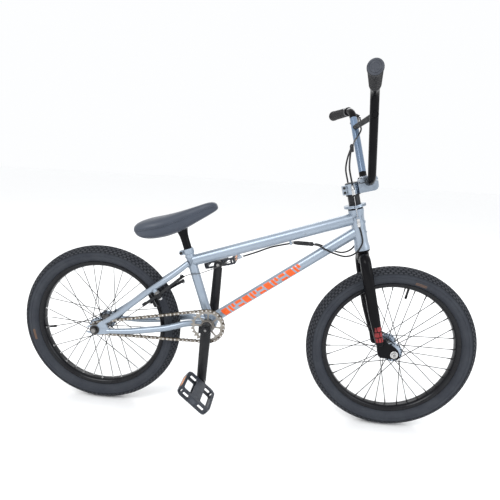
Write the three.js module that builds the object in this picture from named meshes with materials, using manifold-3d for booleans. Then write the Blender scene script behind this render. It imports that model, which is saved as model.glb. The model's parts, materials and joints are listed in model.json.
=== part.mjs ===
// A BMX bicycle with a rear U-brake and a rotor headset, as named sub-parts.
// Millimetres. +X points forward, +Y to the rider's left, +Z up.
// The origin is on the ground, midway between the two wheels.
import * as THREE from "three";
import { mergeVertices } from "three/addons/utils/BufferGeometryUtils.js";
import Module from "manifold-3d";

// Driving dimensions of the bicycle.
const WHEELBASE = 916.6;
const WHEEL_RADIUS = 257;
const TYRE_SECTION = 28.5;
const RIM_INNER = 193.5;
const RIM_OUTER = 208;
const RIM_HALF_WIDTH = 17.5;
const HEAD_ANGLE = 75;
const FORK_OFFSET = 32;
const HEAD_BOTTOM = 319;
const HEAD_TOP = 442.5;
const BB_X = -106;
const BB_Z = 292.5;
const SEAT_ANGLE = 71.5;
const SEAT_TUBE_LENGTH = 243.5;
const CRANK_LENGTH = 170;
const CRANK_LEAN = -2.9;
const ARM_WIDENING = 1.23;
const PEDAL_TILT = 40;
const LEFT_PEDAL_TILT = -14;
const SPROCKET_TEETH = 25;
const DRIVER_TEETH = 9;
const CHAIN_PITCH = 12.7;
const CHAIN_LINE = 44;
const BAR_WIDTH = 720;
const BAR_RISE = 221;
const BAR_TILT = 4.8;
const BAR_SWEEP = 11.8;
const BAR_UPSWEEP = 1.7;
const BAR_REACH = 46;
const BAR_HEIGHT = 514.5;
const GRIP_LENGTH = 145;
const STAY_ANGLE = 38.3;
const GAP = 0.3;
// Sides of a round section, and of a wheel's rings.
const ROUND = 14;
const RING = 32;

// Tube radii.
const TOP_TUBE = 17.45;
const DOWN_TUBE = 15.9;
const SEAT_TUBE = 14.3;
const SEAT_POST = 12.7;
const SEAT_STAY = 9;
const CHAIN_STAY = 10;
const STEERER = 14.3;
const BAR_TUBE = 11.1;
const SPINDLE = 9.5;
const FRONT_AXLE = 5;
const REAR_AXLE = 7;

const RAD = Math.PI / 180;
const UP = new THREE.Vector3(0, 1, 0);
const wasm = await Module();
wasm.setup();

const v = (x, y, z) => new THREE.Vector3(x, y, z);
const mix = (a, b, t) => a + (b - a) * t;

function material(color, roughness, metalness) {
  return new THREE.MeshStandardMaterial({ color, roughness, metalness });
}

const SILVER_PAINT = material(0xb9c6d6, 0.35, 0.6);
const BLACK_PAINT = material(0x0d0e11, 0.25, 0.3);
const ALUMINIUM = material(0xaab2bd, 0.3, 1.0);
const STEEL = material(0x77726c, 0.35, 1.0);
const DARK_STEEL = material(0x2b2c30, 0.35, 0.9);
const BLACK_ANODISED = material(0x14161b, 0.4, 0.6);
const TYRE_RUBBER = material(0x1d222d, 0.8, 0.0);
const GRIP_RUBBER = material(0x1f2024, 0.75, 0.0);
const PEDAL_PLASTIC = material(0x17181b, 0.55, 0.0);
const SADDLE_COVER = material(0x20242c, 0.5, 0.0);
const CABLE_SLEEVE = material(0x1a1b20, 0.5, 0.0);
const PAD_RUBBER = material(0x8d9094, 0.8, 0.0);

// A closed three.js geometry as a manifold solid whose faces point outwards.
function solid(geometry) {
  const loose = geometry.index ? geometry.toNonIndexed() : geometry;
  const bare = new THREE.BufferGeometry();
  bare.setAttribute("position", loose.getAttribute("position"));
  const merged = mergeVertices(bare, 1e-4);
  const corners = merged.index.array;
  const faces = [];
  for (let i = 0; i < corners.length; i += 3) {
    const [a, b, c] = corners.slice(i, i + 3);
    if (a !== b && b !== c && c !== a) faces.push(a, b, c);
  }
  const build = (list) =>
    new wasm.Manifold(
      new wasm.Mesh({
        numProp: 3,
        vertProperties: merged.attributes.position.array,
        triVerts: new Uint32Array(list),
      }),
    );
  const made = build(faces);
  return made.volume() < 0 ? build(faces.reverse()) : made;
}

function meshOf(name, made, look) {
  const out = made.asOriginal().simplify(0.06).getMesh();
  const positions = new Float32Array(out.numVert * 3);
  for (let i = 0; i < out.numVert; i += 1) {
    for (let k = 0; k < 3; k += 1) positions[3 * i + k] = out.vertProperties[i * out.numProp + k];
  }
  const geometry = new THREE.BufferGeometry();
  geometry.setAttribute("position", new THREE.BufferAttribute(positions, 3));
  geometry.setIndex([...out.triVerts]);
  geometry.computeVertexNormals();
  const mesh = new THREE.Mesh(geometry, look);
  mesh.name = name;
  return mesh;
}

function rod(from, to, radius, endRadius = radius, sides = ROUND) {
  const span = to.clone().sub(from);
  const shape = new THREE.CylinderGeometry(endRadius, radius, span.length(), sides);
  shape.applyQuaternion(new THREE.Quaternion().setFromUnitVectors(UP, span.normalize()));
  const middle = from.clone().add(to).multiplyScalar(0.5);
  shape.translate(middle.x, middle.y, middle.z);
  return solid(shape);
}

function hollow(from, to, outer, inner, sides = ROUND) {
  const reach = to.clone().sub(from).setLength(2);
  const core = rod(from.clone().sub(reach), to.clone().add(reach), inner, inner, sides);
  return rod(from, to, outer, outer, sides).subtract(core);
}

// A profile of [radius, along] points turned about Y, or about Z when upright.
function turned(profile, segments = ROUND, upright = false) {
  const points = profile.map(([r, h]) => new THREE.Vector2(r, h));
  const shape = new THREE.LatheGeometry(points, segments);
  if (upright) shape.rotateX(Math.PI / 2);
  return solid(shape);
}

// A turned profile stood on a point, with its axis along a direction.
function turnedOn(profile, from, along, segments = ROUND) {
  const points = profile.map(([r, h]) => new THREE.Vector2(r, h));
  const shape = new THREE.LatheGeometry(points, segments);
  shape.applyQuaternion(new THREE.Quaternion().setFromUnitVectors(UP, along));
  shape.translate(from.x, from.y, from.z);
  return solid(shape);
}

// A ring-shaped profile, closed on itself.
function turnedRing(profile, segments = ROUND, upright = false) {
  return turned([...profile, profile[0]], segments, upright);
}

function polygon(radius, sides) {
  const points = [];
  for (let i = 0; i < sides; i += 1) {
    const turn = (2 * Math.PI * i) / sides;
    points.push(new THREE.Vector2(radius * Math.cos(turn), radius * Math.sin(turn)));
  }
  return new THREE.Shape(points);
}

// A round section carried along a curve.
function swept(curve, radius, sides, steps) {
  const shape = new THREE.ExtrudeGeometry(polygon(radius, sides), {
    steps,
    extrudePath: curve,
    bevelEnabled: false,
  });
  return solid(shape);
}

function cord(points, radius, steps = 16, sides = 5) {
  return swept(new THREE.CatmullRomCurve3(points, false, "centripetal"), radius, sides, steps);
}

// Straight runs joined by rounded corners.
function bent(corners, bends) {
  const path = new THREE.CurvePath();
  let start = corners[0];
  for (let i = 1; i < corners.length - 1; i += 1) {
    const back = corners[i - 1].clone().sub(corners[i]).setLength(bends[i - 1]);
    const on = corners[i + 1].clone().sub(corners[i]).setLength(bends[i - 1]);
    const enter = corners[i].clone().add(back);
    const leave = corners[i].clone().add(on);
    path.add(new THREE.LineCurve3(start, enter));
    path.add(new THREE.QuadraticBezierCurve3(enter, corners[i], leave));
    start = leave;
  }
  path.add(new THREE.LineCurve3(start, corners[corners.length - 1]));
  return path;
}

// Rings of points joined by faces, with a flat cap at each end.
function lofted(rings) {
  const count = rings[0].length;
  const positions = [];
  const push = (...points) => points.forEach((p) => positions.push(p.x, p.y, p.z));
  for (let r = 0; r + 1 < rings.length; r += 1) {
    for (let i = 0; i < count; i += 1) {
      const j = (i + 1) % count;
      push(rings[r][i], rings[r][j], rings[r + 1][j]);
      push(rings[r][i], rings[r + 1][j], rings[r + 1][i]);
    }
  }
  const capped = [rings[0], [...rings[rings.length - 1]].reverse()];
  for (const ring of capped) {
    for (let i = 1; i + 1 < count; i += 1) push(ring[0], ring[i + 1], ring[i]);
  }
  const shape = new THREE.BufferGeometry();
  shape.setAttribute("position", new THREE.Float32BufferAttribute(positions, 3));
  return solid(shape);
}

// A tapered round section along a smooth curve.
function tapered(points, radii, sides = 12, steps = 10) {
  const curve = new THREE.CatmullRomCurve3(points, false, "centripetal");
  const frames = curve.computeFrenetFrames(steps, false);
  const rings = [];
  for (let s = 0; s <= steps; s += 1) {
    const at = (s / steps) * (radii.length - 1);
    const low = Math.min(Math.floor(at), radii.length - 2);
    const radius = mix(radii[low], radii[low + 1], at - low);
    const centre = curve.getPointAt(s / steps);
    const ring = [];
    for (let i = 0; i < sides; i += 1) {
      const turn = (2 * Math.PI * i) / sides;
      const across = frames.normals[s].clone().multiplyScalar(radius * Math.cos(turn));
      const over = frames.binormals[s].clone().multiplyScalar(radius * Math.sin(turn));
      ring.push(centre.clone().add(across).add(over));
    }
    rings.push(ring);
  }
  return lofted(rings);
}

// A flat outline in X and Z, given thickness between two Y values.
function plate(outline, nearY, farY, holes = []) {
  const shape = new THREE.Shape(outline.map(([x, z]) => new THREE.Vector2(x, z)));
  for (const hole of holes) {
    shape.holes.push(new THREE.Path(hole.map(([x, z]) => new THREE.Vector2(x, z))));
  }
  const depth = Math.abs(farY - nearY);
  const slab = new THREE.ExtrudeGeometry(shape, { depth, bevelEnabled: false });
  slab.rotateX(Math.PI / 2);
  slab.translate(0, Math.max(nearY, farY), 0);
  return solid(slab);
}

function circle(x, z, radius, sides = 16) {
  const points = [];
  for (let i = 0; i < sides; i += 1) {
    const turn = (2 * Math.PI * i) / sides;
    points.push([x + radius * Math.cos(turn), z + radius * Math.sin(turn)]);
  }
  return points;
}

function box(low, high) {
  const size = high.clone().sub(low);
  const shape = new THREE.BoxGeometry(size.x, size.y, size.z);
  const middle = low.clone().add(high).multiplyScalar(0.5);
  shape.translate(middle.x, middle.y, middle.z);
  return solid(shape);
}

const union = (list) => wasm.Manifold.union(list);
const mirrored = (made) => made.mirror([0, 1, 0]);
const sideName = (side) => (side < 0 ? "right" : "left");

// Key places on the bicycle.
const FRONT_HUB = v(WHEELBASE / 2, 0, WHEEL_RADIUS);
const REAR_HUB = v(-WHEELBASE / 2, 0, WHEEL_RADIUS);
const BB = v(BB_X, 0, BB_Z);
const SEAT_UP = v(-Math.cos(SEAT_ANGLE * RAD), 0, Math.sin(SEAT_ANGLE * RAD));
const HEAD_UP = v(-Math.cos(HEAD_ANGLE * RAD), 0, Math.sin(HEAD_ANGLE * RAD));
const HEAD_FORWARD = v(Math.sin(HEAD_ANGLE * RAD), 0, Math.cos(HEAD_ANGLE * RAD));
const STEER_BASE = FRONT_HUB.clone().addScaledVector(HEAD_FORWARD, -FORK_OFFSET);
const onSeatTube = (along) => BB.clone().addScaledVector(SEAT_UP, along);
const onHead = (along, ahead = 0, y = 0) =>
  v(0, y, 0).add(STEER_BASE).addScaledVector(HEAD_UP, along).addScaledVector(HEAD_FORWARD, ahead);

const bicycle = new THREE.Group();
const frame = new THREE.Group();
const steering = new THREE.Group();
steering.position.copy(STEER_BASE);
steering.rotation.y = (HEAD_ANGLE - 90) * RAD;
const frontWheel = new THREE.Group();
frontWheel.position.copy(FRONT_HUB);
const rearWheel = new THREE.Group();
rearWheel.position.copy(REAR_HUB);
const cranks = new THREE.Group();
cranks.position.copy(BB);
cranks.rotation.y = -CRANK_LEAN * RAD;
const brake = new THREE.Group();
bicycle.add(frame, steering, frontWheel, rearWheel, cranks, brake);

// ---------------------------------------------------------------- Wheels
const spokeSpread = 60;

function tyre() {
  const crown = WHEEL_RADIUS - TYRE_SECTION;
  const profile = [];
  const arc = (radius, from, to, count) => {
    for (let i = 0; i <= count; i += 1) {
      const turn = mix(from, to, i / count) * RAD;
      profile.push([crown + radius * Math.cos(turn), radius * Math.sin(turn)]);
    }
  };
  const bead = RIM_HALF_WIDTH - 2.7;
  profile.push([200.6, -bead]);
  profile.push([208.6, -bead]);
  arc(TYRE_SECTION, -125, 125, 6);
  profile.push([208.6, bead]);
  profile.push([200.6, bead]);
  profile.push([200.6, bead - 3]);
  arc(TYRE_SECTION - 3.8, 105, -105, 3);
  profile.push([200.6, -bead + 3]);
  return turnedRing(profile, RING);
}

function rim() {
  const outer = RIM_HALF_WIDTH;
  const inner = RIM_HALF_WIDTH - 2.2;
  const profile = [
    [RIM_INNER, -11],
    [RIM_INNER, 11],
    [199, outer],
    [RIM_OUTER, outer],
    [RIM_OUTER, inner],
    [199, inner],
    [199, -inner],
    [RIM_OUTER, -inner],
    [RIM_OUTER, -outer],
    [199, -outer],
  ];
  return turnedRing(profile, RING);
}

// One side's eighteen spokes, crossed three times and joined where they cross.
function spokes(side, flange, turn) {
  const holes = 26.5;
  const seat = RIM_INNER - 1.8;
  const polar = (radius, degrees, y) => {
    const angle = (degrees + turn) * RAD;
    return v(radius * Math.cos(angle), y, radius * Math.sin(angle));
  };
  const rods = [];
  for (let i = 0; i < 9; i += 1) {
    for (const lead of [1, -1]) {
      const start = 40 * i + (lead > 0 ? 0 : 20);
      const from = polar(holes, start, side * (flange + 3));
      const to = polar(seat, start + lead * spokeSpread, side * 4);
      rods.push(rod(from, to, 1.4, 1.4, 3));
    }
  }
  return union(rods);
}

function hub(bore, rightFlange, leftFlange, rightEnd, leftEnd, barrel) {
  const lip = barrel + 2;
  return turnedRing([
    [bore, -rightEnd],
    [11, -rightEnd],
    [11, -rightFlange - 1],
    [29.5, -rightFlange],
    [29.5, -rightFlange + 2.5],
    [lip, -rightFlange + 8],
    [barrel, -rightFlange + 14],
    [barrel, leftFlange - 14],
    [lip, leftFlange - 8],
    [29.5, leftFlange - 2.5],
    [29.5, leftFlange],
    [11, leftFlange + 1],
    [11, leftEnd],
    [bore, leftEnd],
  ]);
}

function addWheel(group, name, hubShell, rightFlange, leftFlange) {
  group.add(meshOf(`${name}_tyre`, tyre(), TYRE_RUBBER));
  group.add(meshOf(`${name}_rim`, rim(), BLACK_ANODISED));
  group.add(meshOf(`${name}_spokes_right`, spokes(-1, rightFlange, 0), DARK_STEEL));
  group.add(meshOf(`${name}_spokes_left`, spokes(1, leftFlange, 10), DARK_STEEL));
  group.add(meshOf(`${name}_hub`, hubShell, ALUMINIUM));
}

addWheel(frontWheel, "front", hub(FRONT_AXLE + 0.5, 38, 38, 43.5, 43.5, 15), 38, 38);
addWheel(rearWheel, "rear", hub(REAR_AXLE + 0.5, 33, 38, 36.5, 48, 21), 33, 38);

function toothed(teeth, root, tip, nearY, farY, holes) {
  const outline = [];
  for (let i = 0; i < teeth; i += 1) {
    for (const [step, radius] of [
      [0.04, root],
      [0.4, tip],
      [0.6, tip],
      [0.96, root],
    ]) {
      const turn = (2 * Math.PI * (i + step)) / teeth;
      outline.push([radius * Math.cos(turn), radius * Math.sin(turn)]);
    }
  }
  return plate(outline, nearY, farY, holes);
}

const pitchRadius = (teeth) => CHAIN_PITCH / (2 * Math.sin(Math.PI / teeth));
const BIG_PITCH = pitchRadius(SPROCKET_TEETH);
const SMALL_PITCH = pitchRadius(DRIVER_TEETH);

const driverBore = REAR_AXLE + 0.6;
const driverBody = turnedRing(
  [
    [driverBore, -49.5],
    [13, -49.5],
    [13, -37],
    [driverBore, -37],
  ],
  ROUND,
);
const driverTeeth = toothed(
  DRIVER_TEETH,
  SMALL_PITCH - 4.6,
  SMALL_PITCH + 2.2,
  -CHAIN_LINE - 1.5,
  -CHAIN_LINE + 1.5,
  [circle(0, 0, driverBore + 1, ROUND)],
);
rearWheel.add(meshOf("rear_driver", driverBody.add(driverTeeth), DARK_STEEL));

// ---------------------------------------------------------------- Axles
const rearAxle = turned(
  [
    [0, -73],
    [REAR_AXLE, -73],
    [REAR_AXLE, -54.7],
    [11, -54.7],
    [11, -50],
    [REAR_AXLE, -50],
    [REAR_AXLE, 48.5],
    [11, 48.5],
    [11, 54.7],
    [REAR_AXLE, 54.7],
    [REAR_AXLE, 73],
    [0, 73],
  ],
  ROUND,
).translate([REAR_HUB.x, 0, REAR_HUB.z]);

function axleNut(bore, face, flange, hex, height) {
  const washer = rod(v(0, face, 0), v(0, face + 2.6, 0), flange);
  const body = rod(v(0, face + 2, 0), v(0, face + height, 0), hex, hex, 6);
  return washer.add(body).subtract(rod(v(0, face - 2, 0), v(0, face + 20, 0), bore));
}

const DROPOUT_OUTER = 61;
const rearNut = axleNut(REAR_AXLE + GAP, DROPOUT_OUTER + GAP, 15, 11, 10.5);
frame.add(meshOf("rear_axle", rearAxle, STEEL));
for (const side of [-1, 1]) {
  const nut = side < 0 ? mirrored(rearNut) : rearNut;
  const placed = nut.translate([REAR_HUB.x, 0, REAR_HUB.z]);
  frame.add(meshOf(`rear_axle_nut_${sideName(side)}`, placed, DARK_STEEL));
}

// ---------------------------------------------------------------- Main frame
const headInner = 17;
const headTube = turnedRing(
  [
    [headInner, HEAD_BOTTOM + 8],
    [20.8, HEAD_BOTTOM + 8],
    [20.8, HEAD_BOTTOM],
    [22.6, HEAD_BOTTOM],
    [22.6, HEAD_BOTTOM + 10],
    [20.2, HEAD_BOTTOM + 22],
    [20.2, HEAD_TOP - 22],
    [22.6, HEAD_TOP - 10],
    [22.6, HEAD_TOP],
    [20.8, HEAD_TOP],
    [20.8, HEAD_TOP - 8],
    [headInner, HEAD_TOP - 8],
  ],
  ROUND,
  true,
);
// Two lugs on the head tube hold the lower brake cables' adjusters.
const LUG_HEIGHT = 419;
const CABLE_Y = 39;
const CABLE_AHEAD = -4;
function headLug(side) {
  const low = v(CABLE_AHEAD - 5, Math.min(side * 19.2, side * (CABLE_Y + 6)), LUG_HEIGHT);
  const high = v(CABLE_AHEAD + 5, Math.max(side * 19.2, side * (CABLE_Y + 6)), LUG_HEIGHT + 4);
  const eye = rod(
    v(CABLE_AHEAD, side * CABLE_Y, LUG_HEIGHT - 1),
    v(CABLE_AHEAD, side * CABLE_Y, LUG_HEIGHT + 5),
    3.3,
    3.3,
    12,
  );
  return box(low, high).subtract(eye);
}
const headWithLugs = union([headTube, headLug(-1), headLug(1)]);

const headCutter = turned(
  [
    [0, HEAD_BOTTOM],
    [22.6 + GAP, HEAD_BOTTOM],
    [22.6 + GAP, HEAD_BOTTOM + 10],
    [20.2 + GAP, HEAD_BOTTOM + 22],
    [20.2 + GAP, HEAD_TOP - 22],
    [22.6 + GAP, HEAD_TOP - 10],
    [22.6 + GAP, HEAD_TOP + 5],
    [0, HEAD_TOP + 5],
  ],
  ROUND,
  true,
)
  .rotate([0, HEAD_ANGLE - 90, 0])
  .translate([STEER_BASE.x, 0, STEER_BASE.z]);
const seatCutter = rod(onSeatTube(-10), onSeatTube(SEAT_TUBE_LENGTH + 40), SEAT_TUBE + GAP);
const bbCutter = rod(v(BB_X, -60, BB_Z), v(BB_X, 60, BB_Z), 23 + GAP, 23 + GAP, ROUND);

const topRear = onSeatTube(203);
const topFront = onHead(416);
const topAlong = topFront.clone().sub(topRear).normalize();
const topPoint = (x) => topRear.clone().addScaledVector(topAlong, (x - topRear.x) / topAlong.x);
const stopX = -30;
const guideX = 124;
// A lug under the top tube, bored along the tube for the cable.
function topTubeLug(x, drop, length) {
  const under = topPoint(x).addScaledVector(v(topAlong.z, 0, -topAlong.x), TOP_TUBE - 1);
  const end = topPoint(x).addScaledVector(v(topAlong.z, 0, -topAlong.x), TOP_TUBE + drop);
  const half = topAlong.clone().multiplyScalar(length / 2);
  const stem = rod(under, end, 3.4, 3.4, 12);
  const barrel = rod(end.clone().sub(half), end.clone().add(half), 5, 5, 12);
  const bore = rod(
    end.clone().sub(half.clone().multiplyScalar(2)),
    end.clone().add(half.clone().multiplyScalar(2)),
    3.4,
    3.4,
    12,
  );
  return stem.add(barrel).subtract(bore);
}
const lugEnd = (x, drop) =>
  topPoint(x).addScaledVector(v(topAlong.z, 0, -topAlong.x), TOP_TUBE + drop);
const topStart = topRear.clone().addScaledVector(topAlong, 5);
const topTube = hollow(topStart, topFront, TOP_TUBE, TOP_TUBE - 1.2)
  .add(topTubeLug(stopX, 9, 12))
  .add(topTubeLug(guideX, 7, 7))
  .subtract(headCutter)
  .subtract(seatCutter);

const downTube = hollow(v(BB_X, 0, BB_Z + 3.5), onHead(379), DOWN_TUBE, DOWN_TUBE - 1.2)
  .subtract(headCutter)
  .subtract(seatCutter)
  .subtract(bbCutter);

const seatTop = onSeatTube(SEAT_TUBE_LENGTH);
const collar = rod(onSeatTube(SEAT_TUBE_LENGTH - 16), seatTop, 17, 17);
const seatBack = v(-SEAT_UP.z, 0, SEAT_UP.x);
const seatAcross = v(0, 1, 0);
function seatBlock(along, back, across, size) {
  const centre = onSeatTube(along)
    .addScaledVector(seatBack, back)
    .addScaledVector(seatAcross, across);
  const shape = new THREE.BoxGeometry(size[0], size[1], size[2]);
  shape.rotateY((SEAT_ANGLE - 90) * RAD);
  shape.translate(centre.x, centre.y, centre.z);
  return solid(shape);
}
const clampBore = 3.4;
const clampAt = SEAT_TUBE_LENGTH - 8;
const clampCentre = onSeatTube(clampAt).addScaledVector(seatBack, 22);
const ears = seatBlock(clampAt, 20, 0, [16, 15, 15]);
const slot = seatBlock(SEAT_TUBE_LENGTH - 15, 18, 0, [24, 2.4, 34]);
const boltHole = rod(
  clampCentre.clone().add(v(0, -20, 0)),
  clampCentre.clone().add(v(0, 20, 0)),
  clampBore,
  clampBore,
  12,
);
const seatCore = rod(onSeatTube(-30), onSeatTube(SEAT_TUBE_LENGTH + 20), SEAT_POST + 0.4);
const seatTube = rod(BB, seatTop, SEAT_TUBE)
  .add(collar)
  .add(ears)
  .subtract(seatCore)
  .subtract(slot)
  .subtract(boltHole)
  .subtract(bbCutter);
const bbShell = turnedRing(
  [
    [20.8, -35],
    [23, -35],
    [23, 35],
    [20.8, 35],
    [20.8, 26],
    [18.5, 26],
    [18.5, -26],
    [20.8, -26],
  ],
  ROUND,
).translate([BB_X, 0, BB_Z]);
const bbBearing = turnedRing(
  [
    [SPINDLE + 0.4, 26.3],
    [20.5, 26.3],
    [20.5, 34.6],
    [20.5, 35.6],
    [SPINDLE + 0.4, 35.6],
  ],
  ROUND,
);

frame.add(meshOf("head_tube", headWithLugs.rotate([0, HEAD_ANGLE - 90, 0]).translate([
  STEER_BASE.x,
  0,
  STEER_BASE.z,
]), SILVER_PAINT));
frame.add(meshOf("top_tube", topTube, SILVER_PAINT));
frame.add(meshOf("down_tube", downTube, SILVER_PAINT));
frame.add(meshOf("seat_tube", seatTube, SILVER_PAINT));
frame.add(meshOf("bb_shell", bbShell, SILVER_PAINT));
for (const side of [-1, 1]) {
  const ring = (side < 0 ? mirrored(bbBearing) : bbBearing).translate([BB_X, 0, BB_Z]);
  frame.add(meshOf(`bb_bearing_${sideName(side)}`, ring, STEEL));
}

// ---------------------------------------------------------------- Rear triangle
const axleX = REAR_HUB.x;
const axleZ = REAR_HUB.z;
const stayUp = v(Math.cos(STAY_ANGLE * RAD), 0, Math.sin(STAY_ANGLE * RAD));
const stayAhead = v(Math.sin(STAY_ANGLE * RAD), 0, -Math.cos(STAY_ANGLE * RAD));
const BRAKE_ORIGIN = v(-278, 0, 401);
const BOSS_Y = 45;
const onBrake = (ahead, y, up) =>
  BRAKE_ORIGIN.clone().addScaledVector(stayAhead, ahead).addScaledVector(stayUp, up).setY(y);
const dropout = plate(
  [
    [axleX + 34, axleZ + 26],
    [axleX + 22, axleZ + 30],
    [axleX + 6, axleZ + 15],
    [axleX - 10, axleZ + 12.5],
    [axleX - 26, axleZ + 9],
    [axleX - 27, axleZ + 7.4],
    [axleX, axleZ + 7.6],
    [axleX + 6.6, axleZ + 5.4],
    [axleX + 8.4, axleZ],
    [axleX + 6.6, axleZ - 5.4],
    [axleX, axleZ - 7.6],
    [axleX - 27, axleZ - 7.4],
    [axleX - 26, axleZ - 11],
    [axleX - 8, axleZ - 15],
    [axleX + 14, axleZ - 15],
    [axleX + 44, axleZ - 11],
    [axleX + 44, axleZ + 6],
  ],
  55,
  DROPOUT_OUTER,
);
const topCutter = rod(topRear, topFront, TOP_TUBE + 0.8);
const stayCentre = v(REAR_HUB.x + 30, 0, REAR_HUB.z + 24);
const chainStayLine = [
  v(BB_X - 12, 22, BB_Z - 1),
  v(-150, 26, 292),
  v(-178, 32, 290),
  v(-206, 38.5, 283),
  v(-240, 42.5, 274),
  v(-290, 46.5, 266),
  v(-350, 52, 258),
  v(axleX + 40, 58, axleZ - 2.5),
];
const seatStayLine = [
  v(-176, 13, 481),
  v(-196, 21, 464),
  v(-220, 31, 444),
  v(-248, 39, 423),
  v(-287, 43, 393.5),
  v(-340, 50, 350),
  v(-380, 55.5, 316),
  v(axleX + 28, 59.5, axleZ + 24),
];
const chainStay = cord(chainStayLine, CHAIN_STAY, 10, 10)
  .subtract(bbCutter)
  .subtract(seatCutter)
  .add(dropout);
const boss = hollow(onBrake(5, BOSS_Y, 0), onBrake(22, BOSS_Y, 0), 7, 4.3, 14);
const bossFoot = rod(onBrake(3, BOSS_Y, 0), onBrake(12, BOSS_Y, 0), 7, 7, 14);
const stayBore = rod(onBrake(12, BOSS_Y, 0), onBrake(40, BOSS_Y, 0), 4.3, 4.3, 14);
const seatStay = cord(seatStayLine, SEAT_STAY, 9, 10)
  .add(boss)
  .add(bossFoot)
  .subtract(stayBore)
  .subtract(rod(onSeatTube(-10), onSeatTube(SEAT_TUBE_LENGTH - 17), SEAT_TUBE + 0.8))
  .subtract(rod(onSeatTube(SEAT_TUBE_LENGTH - 18), onSeatTube(SEAT_TUBE_LENGTH + 9), 17.8))
  .subtract(topCutter)
  .subtract(
    box(
      v(stayCentre.x - 60, 54.5, stayCentre.z - 60),
      v(stayCentre.x + 12, DROPOUT_OUTER + GAP, stayCentre.z + 6.5),
    ),
  );
for (const side of [-1, 1]) {
  const flip = (made) => (side < 0 ? mirrored(made) : made);
  frame.add(meshOf(`chain_stay_${sideName(side)}`, flip(chainStay), SILVER_PAINT));
  frame.add(meshOf(`seat_stay_${sideName(side)}`, flip(seatStay), SILVER_PAINT));
}

// ---------------------------------------------------------------- Saddle and post
const SADDLE_TILT = 21.8;
const saddleTail = v(-345, 0, 576);
const saddleAlong = v(Math.cos(SADDLE_TILT * RAD), 0, Math.sin(SADDLE_TILT * RAD));
const saddleUp = v(-Math.sin(SADDLE_TILT * RAD), 0, Math.cos(SADDLE_TILT * RAD));
const onSaddle = (along, y, up) =>
  saddleTail.clone().addScaledVector(saddleAlong, along).addScaledVector(saddleUp, up).setY(y);
// Each station: along, half width, top height, underside height.
const saddleStations = [
  [1, 34, 5, -14],
  [10, 54, 14, -29],
  [30, 67, 18, -42],
  [60, 71, 16, -50],
  [95, 66, 11, -54],
  [130, 50, 8, -52],
  [165, 35, 6.5, -46],
  [200, 26, 6, -39],
  [235, 21, 6, -32],
  [255, 18, 2, -27],
  [264, 11, -8, -22],
];
const saddleRings = saddleStations.map(([along, half, top, under]) => {
  const ring = [];
  const sides = 14;
  for (let i = 0; i < sides; i += 1) {
    const turn = (2 * Math.PI * (i + 0.5)) / sides;
    const round = (c) => Math.sign(c) * Math.abs(c) ** 0.72;
    const y = half * round(Math.cos(turn));
    const up = (top + under) / 2 + ((top - under) / 2) * round(Math.sin(turn));
    ring.push(onSaddle(along, y, up));
  }
  return ring;
});
const saddle = lofted(saddleRings);
const postTop = onSeatTube(312);
const postHead = tapered(
  [onSeatTube(272), onSeatTube(286), onSeatTube(300), postTop],
  [SEAT_POST, SEAT_POST + 1, 16, 19],
  20,
  4,
);
const postCore = rod(onSeatTube(110), onSeatTube(270), SEAT_POST - 2);
const saddleCutter = lofted(
  saddleRings.map((ring) => ring.map((p) => p.clone().addScaledVector(saddleUp, -GAP))),
);
const seatPost = rod(onSeatTube(125), onSeatTube(273), SEAT_POST)
  .add(postHead)
  .subtract(postCore)
  .subtract(saddleCutter)
  .subtract(saddle);
frame.add(meshOf("seat_post", seatPost, BLACK_PAINT));
frame.add(meshOf("saddle", saddle, SADDLE_COVER));

// ---------------------------------------------------------------- Cranks and pedals
const spindle = turned(
  [
    [0, -84.5],
    [9, -84.5],
    [11, -82],
    [11, -81],
    [SPINDLE, -81],
    [SPINDLE, -41],
    [13.5, -41],
    [13.5, -36],
    [SPINDLE, -36],
    [SPINDLE, 36],
    [13.5, 36],
    [13.5, 53],
    [SPINDLE, 53],
    [SPINDLE, 81],
    [11, 81],
    [11, 82],
    [9, 84.5],
    [0, 84.5],
  ],
  ROUND,
);
const window = (angle) => {
  const points = [];
  for (const [radius, swing] of [
    [21, -16],
    [40, -19.3],
    [42, -7],
    [42, 7],
    [40, 19.3],
    [21, 16],
  ]) {
    const turn = (angle + swing) * RAD;
    points.push([radius * Math.cos(turn), radius * Math.sin(turn)]);
  }
  return points;
};
const sprocketWindows = [0, 1, 2, 3, 4, 5, 6, 7].map((i) => window(45 * i + 22.5));
const sprocket = toothed(
  SPROCKET_TEETH,
  BIG_PITCH - 4.8,
  BIG_PITCH + 2.2,
  -CHAIN_LINE - 1.5,
  -CHAIN_LINE + 1.5,
  [circle(0, 0, SPINDLE + GAP, ROUND), ...sprocketWindows],
).add(
  turnedRing(
    [
      [SPINDLE + GAP, -49],
      [15, -49],
      [15, -41.3],
      [SPINDLE + GAP, -41.3],
    ],
    ROUND,
  ),
);

// The left arm: the right one is its mirror image, turned half a revolution.
const pedalRoot = v(0, 71, CRANK_LENGTH);
const arm = tapered([v(0, 66, 0), v(0, 69, CRANK_LENGTH / 2), pedalRoot], [13.5, 12.5, 12], 14, 2)
  .scale([ARM_WIDENING, 1, 1])
  .add(rod(v(0, 53.5, 0), v(0, 80, 0), 17, 16, ROUND))
  .add(rod(pedalRoot.clone().setY(59), pedalRoot.clone().setY(82), 13.5, 13.5, ROUND))
  .subtract(rod(v(0, 40, 0), v(0, 81.5, 0), SPINDLE + GAP, SPINDLE + GAP, ROUND))
  .add(rod(pedalRoot.clone().setY(75), pedalRoot.clone().setY(172), 5, 5, 14));
const rightArm = mirrored(arm).mirror([0, 0, 1]);
cranks.add(meshOf("crank_spindle", spindle, DARK_STEEL));
cranks.add(meshOf("crank_arm_right", rightArm, BLACK_PAINT));
cranks.add(meshOf("crank_arm_left", arm, BLACK_PAINT));
cranks.add(meshOf("sprocket", sprocket, STEEL));

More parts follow.
